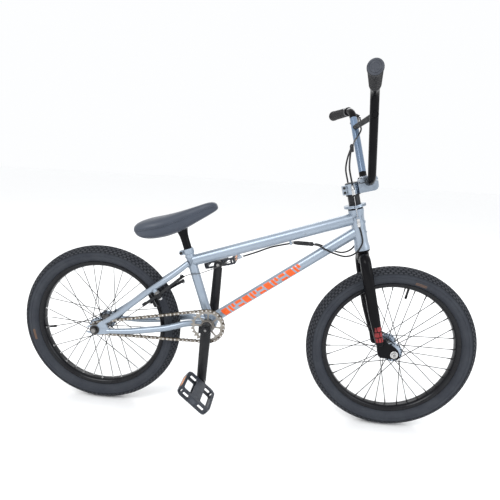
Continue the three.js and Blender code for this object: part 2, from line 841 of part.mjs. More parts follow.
// A platform pedal body about its own spindle line, with its inner end at y = 86.
const pedalIn = 86;
const pedalOut = 190;
const pedalHalf = 53;
const pedalThick = 13;
function roundedRectangle(low, high, corner) {
  const shape = new THREE.Shape();
  const steps = [
    [high[0] - corner, high[1] - corner, 0],
    [low[0] + corner, high[1] - corner, 90],
    [low[0] + corner, low[1] + corner, 180],
    [high[0] - corner, low[1] + corner, 270],
  ];
  const points = [];
  for (const [x, y, start] of steps) {
    for (const turn of [0, 30, 60, 90]) {
      const angle = (start + turn) * RAD;
      points.push(new THREE.Vector2(x + corner * Math.cos(angle), y + corner * Math.sin(angle)));
    }
  }
  shape.setFromPoints(points);
  return shape;
}
function pedalBody() {
  const shape = roundedRectangle([-pedalHalf, pedalIn], [pedalHalf, pedalOut], 12);
  for (const [low, high] of [
    [14, pedalHalf - 7],
    [7 - pedalHalf, -14],
  ]) {
    for (const [near, far] of [
      [pedalIn + 9, pedalIn + 47],
      [pedalIn + 56, pedalOut - 9],
    ]) {
      shape.holes.push(roundedRectangle([low, near], [high, far], 6));
    }
  }
  const depth = 2 * pedalThick;
  const slab = new THREE.ExtrudeGeometry(shape, { depth, bevelEnabled: false });
  slab.translate(0, 0, -pedalThick);
  return solid(slab).subtract(rod(v(0, 60, 0), v(0, pedalOut - 14, 0), 5.6, 5.6, 14));
}
const crankTurn = -CRANK_LEAN;
function pedal(side) {
  const body = side < 0 ? mirrored(pedalBody()) : pedalBody();
  const tilt = (side < 0 ? PEDAL_TILT : LEFT_PEDAL_TILT) - crankTurn;
  return body.rotate([0, tilt, 0]).translate([0, 0, side * CRANK_LENGTH]);
}
cranks.add(meshOf("pedal_right", pedal(-1), PEDAL_PLASTIC));
cranks.add(meshOf("pedal_left", pedal(1), PEDAL_PLASTIC));

// ---------------------------------------------------------------- Chain
// The chain's loop about both toothed wheels, at a distance from its pitch line.
function chainLoop(offset) {
  const along = REAR_HUB.clone().sub(BB);
  const lean = Math.atan2(along.z, along.x);
  const spread = Math.acos((BIG_PITCH - SMALL_PITCH) / along.length());
  const points = [];
  const arc = (centre, radius, from, to, count) => {
    for (let i = 0; i <= count; i += 1) {
      const turn = lean + mix(from, to, i / count);
      points.push([centre.x + radius * Math.cos(turn), centre.z + radius * Math.sin(turn)]);
    }
  };
  arc(BB, BIG_PITCH + offset, spread, 2 * Math.PI - spread, ROUND);
  arc(REAR_HUB, SMALL_PITCH + offset, -spread, spread, 12);
  return points;
}
const chainBand = plate(chainLoop(4.3), -CHAIN_LINE - 4.4, -CHAIN_LINE + 4.4, [chainLoop(-4.3)]);
const chainGroove = plate(chainLoop(3.2), -CHAIN_LINE - 2.1, -CHAIN_LINE + 2.1, [chainLoop(-9)]);
frame.add(meshOf("chain", chainBand.subtract(chainGroove), STEEL));

// ---------------------------------------------------------------- Fork and headset
const steererTop = HEAD_TOP + 70;
const crown = turned(
  [
    [0, 280],
    [17, 280],
    [17, HEAD_BOTTOM - 8],
    [21.5, HEAD_BOTTOM - 4],
    [21.5, HEAD_BOTTOM - GAP],
    [STEERER, HEAD_BOTTOM - GAP],
    [STEERER, steererTop],
    [0, steererTop],
  ],
  ROUND,
  true,
).subtract(rod(v(0, 0, 276), v(0, 0, steererTop + 8), 12.4, 12.4, ROUND));
const legLine = [v(-1, 8, 297), v(-2, 30, 297), v(-4, 46.5, 283), v(-5, 50, 250)];
legLine.push(v(-6, 55, 130), v(-3, 57, 34));
const forkDropout = plate(
  [
    [-13, 50],
    [-14, 4],
    [-9, -3],
    [26, -14],
    [41, -17],
    [47, -9],
    [47, 8],
    [40, 20],
    [24, 34],
    [14, 52],
  ],
  50.3,
  56.6,
  [circle(FORK_OFFSET, 0, FRONT_AXLE + GAP)],
);
const forkLeg = tapered(legLine, [15, 16, 16, 16, 16, 13.5], 12, 9)
  .subtract(rod(v(0, 0, 270), v(0, 0, 330), 17 + GAP))
  .subtract(rod(v(0, 0, 310), v(0, 0, 330), 22))
  .subtract(box(v(-60, 20, -60), v(60, 50, 60)))
  .add(forkDropout)
  .subtract(rod(v(FORK_OFFSET, 50, 0), v(FORK_OFFSET, 80, 0), 12, 12, ROUND))
  .add(
    hollow(v(FORK_OFFSET, 50.3, 0), v(FORK_OFFSET, 56.6, 0), 12.5, FRONT_AXLE + GAP, 16),
  );
steering.add(meshOf("fork_steerer", crown, BLACK_PAINT));
steering.add(meshOf("fork_leg_right", mirrored(forkLeg), BLACK_PAINT));
steering.add(meshOf("fork_leg_left", forkLeg, BLACK_PAINT));

const frontAxle = turned(
  [
    [0, -67],
    [FRONT_AXLE, -67],
    [FRONT_AXLE, -50],
    [9, -50],
    [9, -44],
    [FRONT_AXLE, -44],
    [FRONT_AXLE, 44],
    [9, 44],
    [9, 50],
    [FRONT_AXLE, 50],
    [FRONT_AXLE, 67],
    [0, 67],
  ],
  ROUND,
).translate([FORK_OFFSET, 0, 0]);
const frontNut = axleNut(FRONT_AXLE + GAP, 56.6 + GAP, 11.5, 8.7, 8.4);
steering.add(meshOf("front_axle", frontAxle, STEEL));
for (const side of [-1, 1]) {
  const nut = (side < 0 ? mirrored(frontNut) : frontNut).translate([FORK_OFFSET, 0, 0]);
  steering.add(meshOf(`front_axle_nut_${sideName(side)}`, nut, STEEL));
}

function headBearing(low) {
  return turnedRing(
    [
      [STEERER + 0.4, low],
      [20.5, low],
      [20.5, low + 7],
      [STEERER + 0.4, low + 7],
    ],
    ROUND,
    true,
  )
    .rotate([0, HEAD_ANGLE - 90, 0])
    .translate([STEER_BASE.x, 0, STEER_BASE.z]);
}
frame.add(meshOf("headset_bearing_lower", headBearing(HEAD_BOTTOM + 0.5), STEEL));
frame.add(meshOf("headset_bearing_upper", headBearing(HEAD_TOP - 7.5), STEEL));
const CONE_TOP = 483;
const headsetCone = turnedRing(
  [
    [STEERER + GAP, HEAD_TOP + GAP],
    [21.5, HEAD_TOP + GAP],
    [20, HEAD_TOP + 2.6],
    [17.2, HEAD_TOP + 4],
    [17.2, CONE_TOP],
    [STEERER + GAP, CONE_TOP],
  ],
  ROUND,
  true,
);
steering.add(meshOf("headset_spacer", headsetCone, BLACK_ANODISED));

// ---------------------------------------------------------------- Brake rotor
const ROTOR_LOW = 448;
function rotorPlate(low, high, tabs) {
  const ring = turnedRing(
    [
      [17.8, low],
      [32, low],
      [32, high],
      [17.8, high],
    ],
    ROUND,
    true,
  );
  const bar = box(v(CABLE_AHEAD - 5, -tabs, low), v(CABLE_AHEAD + 5, tabs, high));
  const bore = rod(v(0, 0, low - 2), v(0, 0, high + 2), 17.8, 17.8, ROUND);
  const wireBore = (side) => {
    const y = side * CABLE_Y;
    return rod(v(CABLE_AHEAD, y, low - 2), v(CABLE_AHEAD, y, high + 2), 2.3, 2.3, 10);
  };
  return ring.add(bar.subtract(bore)).subtract(wireBore(1)).subtract(wireBore(-1));
}
const rotorLower = rotorPlate(ROTOR_LOW, ROTOR_LOW + 4, CABLE_Y + 5);
const rotorUpper = rotorPlate(ROTOR_LOW + 4 + GAP, ROTOR_LOW + 8, CABLE_Y + 5);
const rotorGroup = new THREE.Group();
rotorGroup.position.copy(steering.position);
rotorGroup.rotation.copy(steering.rotation);
bicycle.add(rotorGroup);
rotorGroup.add(meshOf("rotor_lower", rotorLower, ALUMINIUM));
rotorGroup.add(meshOf("rotor_upper", rotorUpper, ALUMINIUM));

const topPlateLow = CONE_TOP + GAP;
const topPlate = turnedRing(
  [
    [STEERER + GAP, topPlateLow],
    [21, topPlateLow],
    [21, topPlateLow + 3],
    [STEERER + GAP, topPlateLow + 3],
  ],
  ROUND,
  true,
)
  .add(
    box(
      v(CABLE_AHEAD - 6, -CABLE_Y - 6, topPlateLow),
      v(CABLE_AHEAD + 6, CABLE_Y + 6, topPlateLow + 3),
    ).subtract(rod(v(0, 0, 470), v(0, 0, 500), STEERER + GAP, STEERER + GAP, ROUND)),
  )
  .subtract(rod(v(CABLE_AHEAD, CABLE_Y, 470), v(CABLE_AHEAD, CABLE_Y, 500), 3.3, 3.3, 12))
  .subtract(rod(v(CABLE_AHEAD, -CABLE_Y, 470), v(CABLE_AHEAD, -CABLE_Y, 500), 3.3, 3.3, 12));
steering.add(meshOf("rotor_top_plate", topPlate, BLACK_ANODISED));

// ---------------------------------------------------------------- Stem and bars
const stemLow = topPlateLow + 3 + GAP;
const stemTop = 518;
const stemHalf = 25;
const barAt = v(BAR_REACH, 0, BAR_HEIGHT);
const barBore = rod(
  barAt.clone().setY(-stemHalf - 10),
  barAt.clone().setY(stemHalf + 10),
  BAR_TUBE + 0.45,
  BAR_TUBE + 0.45,
  ROUND,
);
const steererBore = rod(v(0, 0, stemLow - 5), v(0, 0, stemTop + 20), STEERER + GAP);
const frontBlock = plate(
  [
    [16, stemLow],
    [62, stemLow],
    [70, stemLow + 9],
    [71, BAR_HEIGHT - 1],
    [16, BAR_HEIGHT - 1],
  ],
  -stemHalf,
  stemHalf,
);
const clampBarrel = rod(v(0, 0, stemLow), v(0, 0, stemTop), 19.5, 19.5, ROUND);
const rearEar = box(v(-29, -10, stemLow + 2), v(-14, 10, stemTop - 2));
const stemSlot = box(v(-40, -1.2, stemLow - 5), v(-10, 1.2, stemTop + 5));
const webWindow = plate(
  [
    [22, stemLow - 4],
    [30, stemLow + 8],
    [30, BAR_HEIGHT + 5],
    [22, BAR_HEIGHT + 5],
  ],
  -8,
  8,
);
const stemBody = union([clampBarrel, frontBlock, rearEar])
  .subtract(steererBore)
  .subtract(stemSlot)
  .subtract(barBore)
  .subtract(webWindow);
const stemLid = plate(
  [
    [20, BAR_HEIGHT + 0.6],
    [71, BAR_HEIGHT + 0.6],
    [70, BAR_HEIGHT + 9],
    [60, BAR_HEIGHT + 16],
    [33, BAR_HEIGHT + 16],
    [22, BAR_HEIGHT + 10],
  ],
  -stemHalf,
  stemHalf,
).subtract(barBore);
steering.add(meshOf("stem_body", stemBody, ALUMINIUM));
steering.add(meshOf("stem_lid", stemLid, ALUMINIUM));

// The bars' own axes in the steering group.
const legUp = v(Math.sin(BAR_TILT * RAD), 0, Math.cos(BAR_TILT * RAD));
const barTop = barAt.clone().addScaledVector(legUp, BAR_RISE);
const gripWorld = v(-Math.sin(BAR_SWEEP * RAD), Math.cos(BAR_SWEEP * RAD), 0);
gripWorld.z = Math.tan(BAR_UPSWEEP * RAD);
const gripAlong = gripWorld.clone().applyAxisAngle(UP, (90 - HEAD_ANGLE) * RAD).normalize();
const bendY = 172.5;
const footY = 58;
const bendAt = barTop.clone().setY(bendY);
const onGrip = (y) => bendAt.clone().addScaledVector(gripAlong, (y - bendY) / gripAlong.y);
const barEnd = onGrip(BAR_WIDTH / 2 - 2);
const flipY = (p) => v(p.x, -p.y, p.z);
const footAt = barAt.clone().setY(footY);
const barPath = bent(
  [flipY(barEnd), flipY(bendAt), flipY(footAt), footAt, bendAt, barEnd],
  [29, 28, 28, 29],
);
const crossHeight = 166 / BAR_RISE;
const crossAt = footAt.clone().lerp(bendAt, crossHeight);
const handlebar = swept(barPath, BAR_TUBE, 10, 44).add(rod(flipY(crossAt), crossAt, 8, 8, 12));
steering.add(meshOf("handlebar", handlebar, BLACK_PAINT));

const gripIn = onGrip(BAR_WIDTH / 2 - GRIP_LENGTH);
const gripOut = onGrip(BAR_WIDTH / 2 + 1);
const gripSpan = gripOut.distanceTo(gripIn);
const grip = turnedOn(
  [
    [11.6, 0],
    [13.5, 0],
    [15, 12],
    [17, gripSpan],
    [0, gripSpan],
    [0, gripSpan - 2.4],
    [11.6, gripSpan - 2.4],
    [11.6, 0],
  ],
  gripIn,
  gripAlong,
);
steering.add(meshOf("grip_right", mirrored(grip), GRIP_RUBBER));
steering.add(meshOf("grip_left", grip, GRIP_RUBBER));

// ---------------------------------------------------------------- Brake lever, on the left bar
const leverIn = onGrip(203.5);
const leverOut = onGrip(214.6);
const leverDrop = v(0.75, 0, -0.66).normalize();
const leverPivot = onGrip(209).addScaledVector(leverDrop, 33);
const leverTurn = gripAlong.clone().cross(leverDrop).normalize();
const bracketArm = tapered(
  [
    onGrip(209).addScaledVector(leverDrop, 12),
    onGrip(200).addScaledVector(leverDrop, 14),
    onGrip(192).addScaledVector(leverDrop, 35),
  ],
  [7.5, 7, 5.5],
  12,
  3,
);
const pivotEye = rod(
  leverPivot.clone().addScaledVector(leverTurn, -6),
  leverPivot.clone().addScaledVector(leverTurn, 6),
  7,
  7,
  ROUND,
);
const leverGap = rod(
  leverPivot.clone().addScaledVector(leverTurn, -3.6),
  leverPivot.clone().addScaledVector(leverTurn, 3.6),
  10,
  10,
  ROUND,
);
const leverBracket = union([
  rod(leverIn, leverOut, 14.5, 14.5, ROUND),
  bracketArm,
  pivotEye,
  rod(onGrip(205).addScaledVector(leverDrop, 12), leverPivot, 6, 6, 12),
])
  .subtract(rod(onGrip(170), onGrip(240), BAR_TUBE + 0.45))
  .subtract(swept(barPath, BAR_TUBE + 0.5, 10, 44))
  .subtract(leverGap);
const bladeLine = [
  leverPivot.clone(),
  onGrip(228).addScaledVector(leverDrop, 46),
  onGrip(256).addScaledVector(leverDrop, 56),
  onGrip(290).addScaledVector(leverDrop, 54),
  onGrip(316).addScaledVector(leverDrop, 58),
];
const blade = tapered(bladeLine, [3, 3.2, 3.2, 3.2, 4], 10, 8);
const bladeEye = rod(
  leverPivot.clone().addScaledVector(leverTurn, -3.2),
  leverPivot.clone().addScaledVector(leverTurn, 3.2),
  6.5,
  6.5,
  ROUND,
);
steering.add(meshOf("brake_lever_bracket", leverBracket, BLACK_ANODISED));
steering.add(meshOf("brake_lever", blade.add(bladeEye), BLACK_ANODISED));

// ---------------------------------------------------------------- Brake arms
brake.position.copy(BRAKE_ORIGIN);
brake.rotation.y = (90 - STAY_ANGLE) * RAD;
// An arm's outline in Y and Z, for the left side, extruded along the pivot's own axis.
function armPlate(outline, low, high, pivotRadius) {
  const shape = new THREE.Shape(outline.map(([y, z]) => new THREE.Vector2(y, z)));
  const slab = new THREE.ExtrudeGeometry(shape, { depth: high - low, bevelEnabled: false });
  slab.rotateX(Math.PI / 2);
  slab.rotateZ(Math.PI / 2);
  slab.translate(low, 0, 0);
  return solid(slab).add(rod(v(22.4, BOSS_Y, 0), v(38, BOSS_Y, 0), pivotRadius, pivotRadius, 16));
}
function brakeArm(low, high, reach) {
  const outline = [
    [BOSS_Y + 8, 4],
    [BOSS_Y + 2, 14],
    [34, 30],
    [20, 50],
    [2, 66],
    [reach, 82],
    [reach - 9, 78],
    [reach - 5, 64],
    [10, 46],
    [24, 26],
    [BOSS_Y - 11, 6],
    [BOSS_Y - 6, -12],
    [BOSS_Y - 4, -34],
    [BOSS_Y - 3, -58],
    [BOSS_Y + 6, -60],
    [BOSS_Y + 10, -34],
    [BOSS_Y + 10, -8],
  ];
  const body = armPlate(outline, low, high, 9.5);
  return body
    .subtract(rod(v(15, BOSS_Y, 0), v(60, BOSS_Y, 0), 4.4, 4.4, 12))
    .subtract(rod(v(33, BOSS_Y - 20, -32), v(33, BOSS_Y + 30, -32), 4.2, 4.2, 12))
    .subtract(rod(v(20, BOSS_Y + 2, -50), v(50, BOSS_Y + 2, -50), 3.4, 3.4, 10));
}
const armLeft = brakeArm(31, 38, -6);
const armRight = mirrored(brakeArm(23, 30, -6));
const PAD_REST = RIM_HALF_WIDTH + 2.6;
// The pad lies along the rim, which runs 8.8 degrees off the brake's own axis here.
const pad = box(v(-23, PAD_REST, -4), v(23, PAD_REST + 10, 4))
  .rotate([0, 8.8, 0])
  .translate([32, 0, -34.5])
  .add(rod(v(33, PAD_REST + 9.5, -32), v(33, BOSS_Y + 16, -32), 3.6, 3.6, 12));
brake.add(meshOf("brake_arm_left", armLeft, BLACK_ANODISED));
brake.add(meshOf("brake_arm_right", armRight, BLACK_ANODISED));
brake.add(meshOf("brake_pad_left", pad, PAD_RUBBER));
brake.add(meshOf("brake_pad_right", mirrored(pad), PAD_RUBBER));

// ---------------------------------------------------------------- Cables
const localToWorld = (ahead, y, along) => onHead(along, ahead, y);
// The lower cables run from the rotor, round the head tube, and join under the top tube.
const junctionFront = v(196, 0, 563.5);
const junctionRear = v(142, 0, 564);
function lowerBranch(side) {
  const y = side * CABLE_Y;
  return cord(
    [
      localToWorld(CABLE_AHEAD, y, LUG_HEIGHT - 22),
      localToWorld(-1, side * 38, 372),
      localToWorld(-3, side * 37, 345),
      localToWorld(-26, side * 35, 320),
      localToWorld(-56, side * 31, 315),
      v(256, side * 25, 545),
      v(236, side * 21.5, 553),
      v(214, side * 12, 562),
      junctionFront.clone().add(v(-6, side * 2, 0)),
    ],
    2.5,
    15,
  );
}
function lowerAdjuster(side) {
  const y = side * CABLE_Y;
  const barrel = rod(
    localToWorld(CABLE_AHEAD, y, LUG_HEIGHT - 24),
    localToWorld(CABLE_AHEAD, y, LUG_HEIGHT - GAP),
    4.5,
    4.5,
    12,
  );
  const wire = rod(
    localToWorld(CABLE_AHEAD, y, LUG_HEIGHT - 1),
    localToWorld(CABLE_AHEAD, y, ROTOR_LOW - GAP),
    1.2,
    1.2,
    6,
  );
  return barrel.add(wire);
}
const stopCentre = lugEnd(stopX, 9);
const guideCentre = lugEnd(guideX, 7);
const rearHousing = cord(
  [
    junctionRear.clone().add(v(6, 0, 1)),
    guideCentre.clone(),
    v(75, 0, 546),
    v(30, 0, 527),
    stopCentre.clone().addScaledVector(topAlong, 14),
    stopCentre.clone().addScaledVector(topAlong, 6.4),
  ],
  2.5,
  12,
);
const lowerCable = union([
  lowerBranch(-1),
  lowerBranch(1),
  lowerAdjuster(-1),
  lowerAdjuster(1),
  rod(junctionFront, junctionRear, 6.5, 6.5, 14),
  rearHousing,
]);
frame.add(meshOf("lower_brake_cable", lowerCable, CABLE_SLEEVE));

const brakeWire = cord(
  [
    stopCentre.clone().addScaledVector(topAlong, 5.8),
    stopCentre.clone().addScaledVector(topAlong, -8),
    v(-80, -9, 477),
    v(-139, -18, 452),
    v(-170, -17, 446),
    onBrake(27, 0, 88),
  ],
  1.2,
  14,
);
frame.add(meshOf("brake_wire", brakeWire, STEEL));

// The upper cable runs from the lever, down behind the bars, and splits to the rotor's two sides.
const coneEnd = onGrip(190).addScaledVector(leverDrop, 36);
const split = v(16, 0, 612);
function upperBranch(side) {
  return cord(
    [
      split.clone().add(v(0, side * 2, 6)),
      v(4, side * 24, 590),
      v(-4, side * 37, 560),
      v(CABLE_AHEAD, side * CABLE_Y, 526),
      v(CABLE_AHEAD, side * CABLE_Y, 511),
    ],
    2.5,
    8,
  );
}
function upperAdjuster(side) {
  const at = (z) => v(CABLE_AHEAD, side * CABLE_Y, z);
  const barrel = rod(at(topPlateLow + 3 + GAP), at(513), 4.5, 4.5, 12);
  return barrel.add(rod(at(ROTOR_LOW + 8 + GAP), at(topPlateLow + 5), 1.2, 1.2, 6));
}
const upperMain = cord(
  [
    coneEnd,
    v(85, 170, 701),
    v(78, 148, 685),
    v(74, 124, 668),
    v(58, 104, 650),
    v(38, 66, 635),
    v(26, 28, 622),
    split.clone(),
  ],
  2.5,
  12,
);
const upperCable = union([
  upperMain,
  upperBranch(-1),
  upperBranch(1),
  upperAdjuster(-1),
  upperAdjuster(1),
  rod(split.clone().add(v(-1, 0, -6)), split.clone().add(v(4, 6, 14)), 5.5, 5.5, 12),
]);
steering.add(meshOf("upper_brake_cable", upperCable, CABLE_SLEEVE));

export default bicycle;
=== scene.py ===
import json
import math

import bmesh
import bpy
from mathutils import Matrix, Vector, noise
from mathutils.geometry import tessellate_polygon


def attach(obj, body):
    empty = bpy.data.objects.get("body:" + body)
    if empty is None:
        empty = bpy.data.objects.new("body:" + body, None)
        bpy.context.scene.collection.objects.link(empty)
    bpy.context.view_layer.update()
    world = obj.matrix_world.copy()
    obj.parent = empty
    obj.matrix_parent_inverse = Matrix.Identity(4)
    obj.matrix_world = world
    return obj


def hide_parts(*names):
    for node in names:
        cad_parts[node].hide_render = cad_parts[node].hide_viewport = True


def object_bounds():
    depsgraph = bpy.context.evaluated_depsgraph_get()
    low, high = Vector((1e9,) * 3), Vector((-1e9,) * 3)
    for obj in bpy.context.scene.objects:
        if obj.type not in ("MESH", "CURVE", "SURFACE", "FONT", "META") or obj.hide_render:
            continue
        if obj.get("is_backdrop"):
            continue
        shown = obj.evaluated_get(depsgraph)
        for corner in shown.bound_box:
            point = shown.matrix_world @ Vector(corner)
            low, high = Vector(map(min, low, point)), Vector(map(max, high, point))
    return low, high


# The looks of a BMX bicycle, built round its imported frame. Lengths are in millimetres
# until a piece is made, and in the row frame: +X forward, +Y to the left, +Z up.
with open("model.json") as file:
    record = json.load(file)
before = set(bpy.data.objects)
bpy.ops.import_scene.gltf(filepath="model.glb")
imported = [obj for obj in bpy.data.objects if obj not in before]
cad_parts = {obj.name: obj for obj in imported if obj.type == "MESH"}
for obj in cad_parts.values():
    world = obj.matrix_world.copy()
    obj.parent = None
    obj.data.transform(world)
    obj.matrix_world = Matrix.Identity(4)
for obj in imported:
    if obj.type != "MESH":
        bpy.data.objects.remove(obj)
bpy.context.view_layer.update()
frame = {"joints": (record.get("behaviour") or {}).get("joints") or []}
MM = 0.001
RAD = math.pi / 180
WELD_DISTANCE = 2e-6
BEVEL_ANGLE = 32
HUB_SIDES, CUP_SIDES, BAR_SIDES, GRIP_SIDES = 72, 48, 36, 56
SIDES = {-1: "right", 1: "left"}


# ------------------------------------------------------------------ Camera
def make_camera(place, yaw, pitch, roll, lens):
    ahead = Vector((-math.sin(yaw) * math.cos(pitch), math.cos(yaw) * math.cos(pitch), math.sin(pitch)))
    across = Vector((math.cos(yaw), math.sin(yaw), 0))
    over = across.cross(ahead)
    right = across * math.cos(roll) + over * math.sin(roll)
    up = over * math.cos(roll) - across * math.sin(roll)
    data = bpy.data.cameras.new("camera")
    data.lens = lens
    data.sensor_width = 36
    camera = bpy.data.objects.new("camera", data)
    bpy.context.scene.collection.objects.link(camera)
    turn = Matrix((right, up, -ahead)).transposed()
    camera.matrix_world = Matrix.Translation(place) @ turn.to_4x4()
    bpy.context.scene.camera = camera


CAMERA_PLACE = Vector((0.10167, -1.21905, 0.77205))
make_camera(CAMERA_PLACE, yaw=4.3288 * RAD, pitch=-11.1035 * RAD, roll=3.1319 * RAD, lens=29.372)


# ------------------------------------------------------------------ Shapes
def vec(x, y, z):
    return Vector((x, y, z))


def mix(a, b, t):
    return a + (b - a) * t


def smooth_step(t):
    t = max(0.0, min(1.0, t))
    return t * t * (3 - 2 * t)


def side_axes(axis):
    axis = axis.normalized()
    helper = vec(0, 0, 1) if abs(axis.z) < 0.9 else vec(1, 0, 0)
    u = axis.cross(helper).normalized()
    return u, axis.cross(u).normalized()


def spline(points, steps):
    """A smooth line through the points, with that many spans between each two."""
    knots = [0.0]
    for a, b in zip(points, points[1:]):
        knots.append(knots[-1] + math.sqrt((b - a).length))
    slopes = []
    for i, p in enumerate(points):
        j, k = max(i - 1, 0), min(i + 1, len(points) - 1)
        slopes.append((points[k] - points[j]) / (knots[k] - knots[j]))
    out = []
    for i in range(len(points) - 1):
        span = knots[i + 1] - knots[i]
        for s in range(steps):
            t = s / steps
            a = points[i] * (2 * t**3 - 3 * t**2 + 1) + slopes[i] * span * (t**3 - 2 * t**2 + t)
            b = points[i + 1] * (3 * t**2 - 2 * t**3) + slopes[i + 1] * span * (t**3 - t**2)
            out.append(a + b)
    out.append(points[-1].copy())
    return out


def bent_line(corners, bends, steps=10):
    """Straight runs joined by rounded corners."""
    out = [corners[0]]
    for i in range(1, len(corners) - 1):
        a = corners[i] + (corners[i - 1] - corners[i]).normalized() * bends[i - 1]
        b = corners[i] + (corners[i + 1] - corners[i]).normalized() * bends[i - 1]
        for s in range(steps + 1):
            t = s / steps
            out.append(a * (1 - t) ** 2 + corners[i] * 2 * t * (1 - t) + b * t * t)
    out.append(corners[-1])
    return out


class Shape:
    """Points in millimetres, faces, and which of the piece's materials each face has."""

    def __init__(self):
        self.points, self.faces, self.looks = [], [], []

    def add(self, points, faces, look=0):
        base = len(self.points)
        self.points.extend(points)
        self.faces.extend(tuple(i + base for i in f) for f in faces)
        self.looks.extend([look] * len(faces))
        return self

    def rings(self, rings, look=0, loop=False):
        """A skin over rings of points, closed at both ends or joined into a loop."""
        count = len(rings[0])
        points = [p for ring in rings for p in ring]
        faces = []
        for r in range(len(rings) if loop else len(rings) - 1):
            low, high = r * count, ((r + 1) % len(rings)) * count
            for i in range(count):
                j = (i + 1) % count
                faces.append((low + i, low + j, high + j, high + i))
        if not loop:
            faces.append(tuple(range(count))[::-1])
            faces.append(tuple((len(rings) - 1) * count + i for i in range(count)))
        return self.add(points, faces, look)

    def recolour(self, band, sides, look):
        """Gives one band of a turned or swept shape another of the piece's materials."""
        self.looks[band * sides:(band + 1) * sides] = [look] * sides

    def lathe(self, profile, centre, axis, segments=48, look=0, loop=False):
        """A profile of (radius, along) turned about an axis through centre."""
        axis = axis.normalized()
        u, w = side_axes(axis)
        turns = [2 * math.pi * i / segments for i in range(segments)]
        spokes = [u * math.cos(t) + w * math.sin(t) for t in turns]
        rings = [[centre + axis * h + s * max(r, 0.02) for s in spokes] for r, h in profile]
        return self.rings(rings, look, loop)

    def tube(self, path, radius, sides=16, look=0, loop=False, squash=None):
        """A round section along a path. radius is one number or one for each point."""
        count = len(path)
        radii = radius if isinstance(radius, list) else [radius] * count
        u = None
        rings = []
        for i, p in enumerate(path):
            back = path[i - 1] if i or loop else path[0]
            on = path[(i + 1) % count] if i + 1 < count or loop else path[i]
            along = (on - back).normalized()
            if u is None:
                u = side_axes(along)[0]
            u = (u - along * u.dot(along)).normalized()
            w = along.cross(u)
            ring = []
            for k in range(sides):
                t = 2 * math.pi * k / sides
                offset = (u * math.cos(t) + w * math.sin(t)) * radii[i]
                if squash:
                    offset -= squash[0] * offset.dot(squash[0]) * (1 - squash[1])
                ring.append(p + offset)
            rings.append(ring)
        return self.rings(rings, look, loop)

    def rod(self, a, b, radius, sides=24, look=0, edge=0.0, end=None):
        """A straight round bar with softened ends."""
        length = (b - a).length
        end = radius if end is None else end
        edge = min(edge, length / 3, radius / 2)
        if edge:
            profile = [(radius - edge, 0), (radius, edge), (end, length - edge), (end - edge, length)]
        else:
            profile = [(radius, 0), (end, length)]
        return self.lathe(profile, a, b - a, sides, look)

    def plate(self, outline, place, low, high, holes=(), look=0):
        """An outline extruded from low to high. place(u, v, depth) gives a point."""
        loops = [list(outline)] + [list(h) for h in holes]
        flat = [p for loop in loops for p in loop]
        count = len(flat)
        points = [place(u, v, low) for u, v in flat] + [place(u, v, high) for u, v in flat]
        faces = []
        for tri in tessellate_polygon([[Vector((u, v, 0)) for u, v in loop] for loop in loops]):
            faces.append(tuple(tri))
            faces.append(tuple(i + count for i in reversed(tri)))
        start = 0
        for loop in loops:
            size = len(loop)
            for i in range(size):
                a, b = start + i, start + (i + 1) % size
                faces.append((a, b, b + count, a + count))
            start += size
        return self.add(points, faces, look)

    def block(self, centre, axes, size, look=0):
        """A box on three axes, with its edges left for a bevel."""
        points = []
        for i in (-0.5, 0.5):
            for j in (-0.5, 0.5):
                for k in (-0.5, 0.5):
                    offset = axes[0] * size[0] * i + axes[1] * size[1] * j + axes[2] * size[2] * k
                    points.append(centre + offset)
        faces = [(0, 1, 3, 2), (4, 6, 7, 5), (0, 4, 5, 1), (2, 3, 7, 6), (0, 2, 6, 4), (1, 5, 7, 3)]
        return self.add(points, faces, look)

    def hex(self, centre, axis, radius, height, look=0):
        """A hexagonal head or nut with a chamfer."""
        profile = [(radius, 0), (radius, height - 0.8), (radius - 0.9, height)]
        return self.lathe(profile, centre, axis, 6, look)

    def cap_screw(self, centre, axis, radius, height, look=0):
        """A round socket-head screw standing on a face."""
        s = radius * 0.5
        profile = [(radius, 0), (radius, height - 0.5), (radius - 0.5, height), (s, height)]
        profile += [(s * 0.96, height * 0.4), (0, height * 0.4)]
        return self.lathe(profile, centre, axis, 20, look)

    def weld(self, start, along, radius, other, axis, thick, size=1.9):
        """A rippled bead where a tube leaving start meets the side of another tube."""
        along, axis = along.normalized(), axis.normalized()
        u, w = side_axes(along)
        path, radii = [], []
        count = 72
        for i in range(count):
            t = 2 * math.pi * i / count
            p = start + (u * math.cos(t) + w * math.sin(t)) * radius
            q = p - other
            q -= axis * q.dot(axis)
            d = along - axis * along.dot(axis)
            a, b, c = d.dot(d), 2 * q.dot(d), q.dot(q) - thick * thick
            root = max(b * b - 4 * a * c, 0.0)
            s = (-b + math.sqrt(root)) / (2 * a)
            path.append(p + along * s)
            radii.append(size * (1 + 0.16 * math.sin(t * 24)))
        return self.tube(path, radii, 8, loop=True)


def piece(name, shape, looks, body, nodes=(), sharp=38, bevel=0.0, levels=0):
    """A named object made of a shape, riding on a body and standing for some CAD nodes."""
    looks = looks if isinstance(looks, (list, tuple)) else [looks]
    mesh = bpy.data.meshes.new(name)
    mesh.from_pydata([p * MM for p in shape.points], [], shape.faces)
    for look in looks:
        mesh.materials.append(look)
    mesh.polygons.foreach_set("material_index", shape.looks)
    return place_mesh(name, mesh, body, nodes, sharp, bevel, levels)


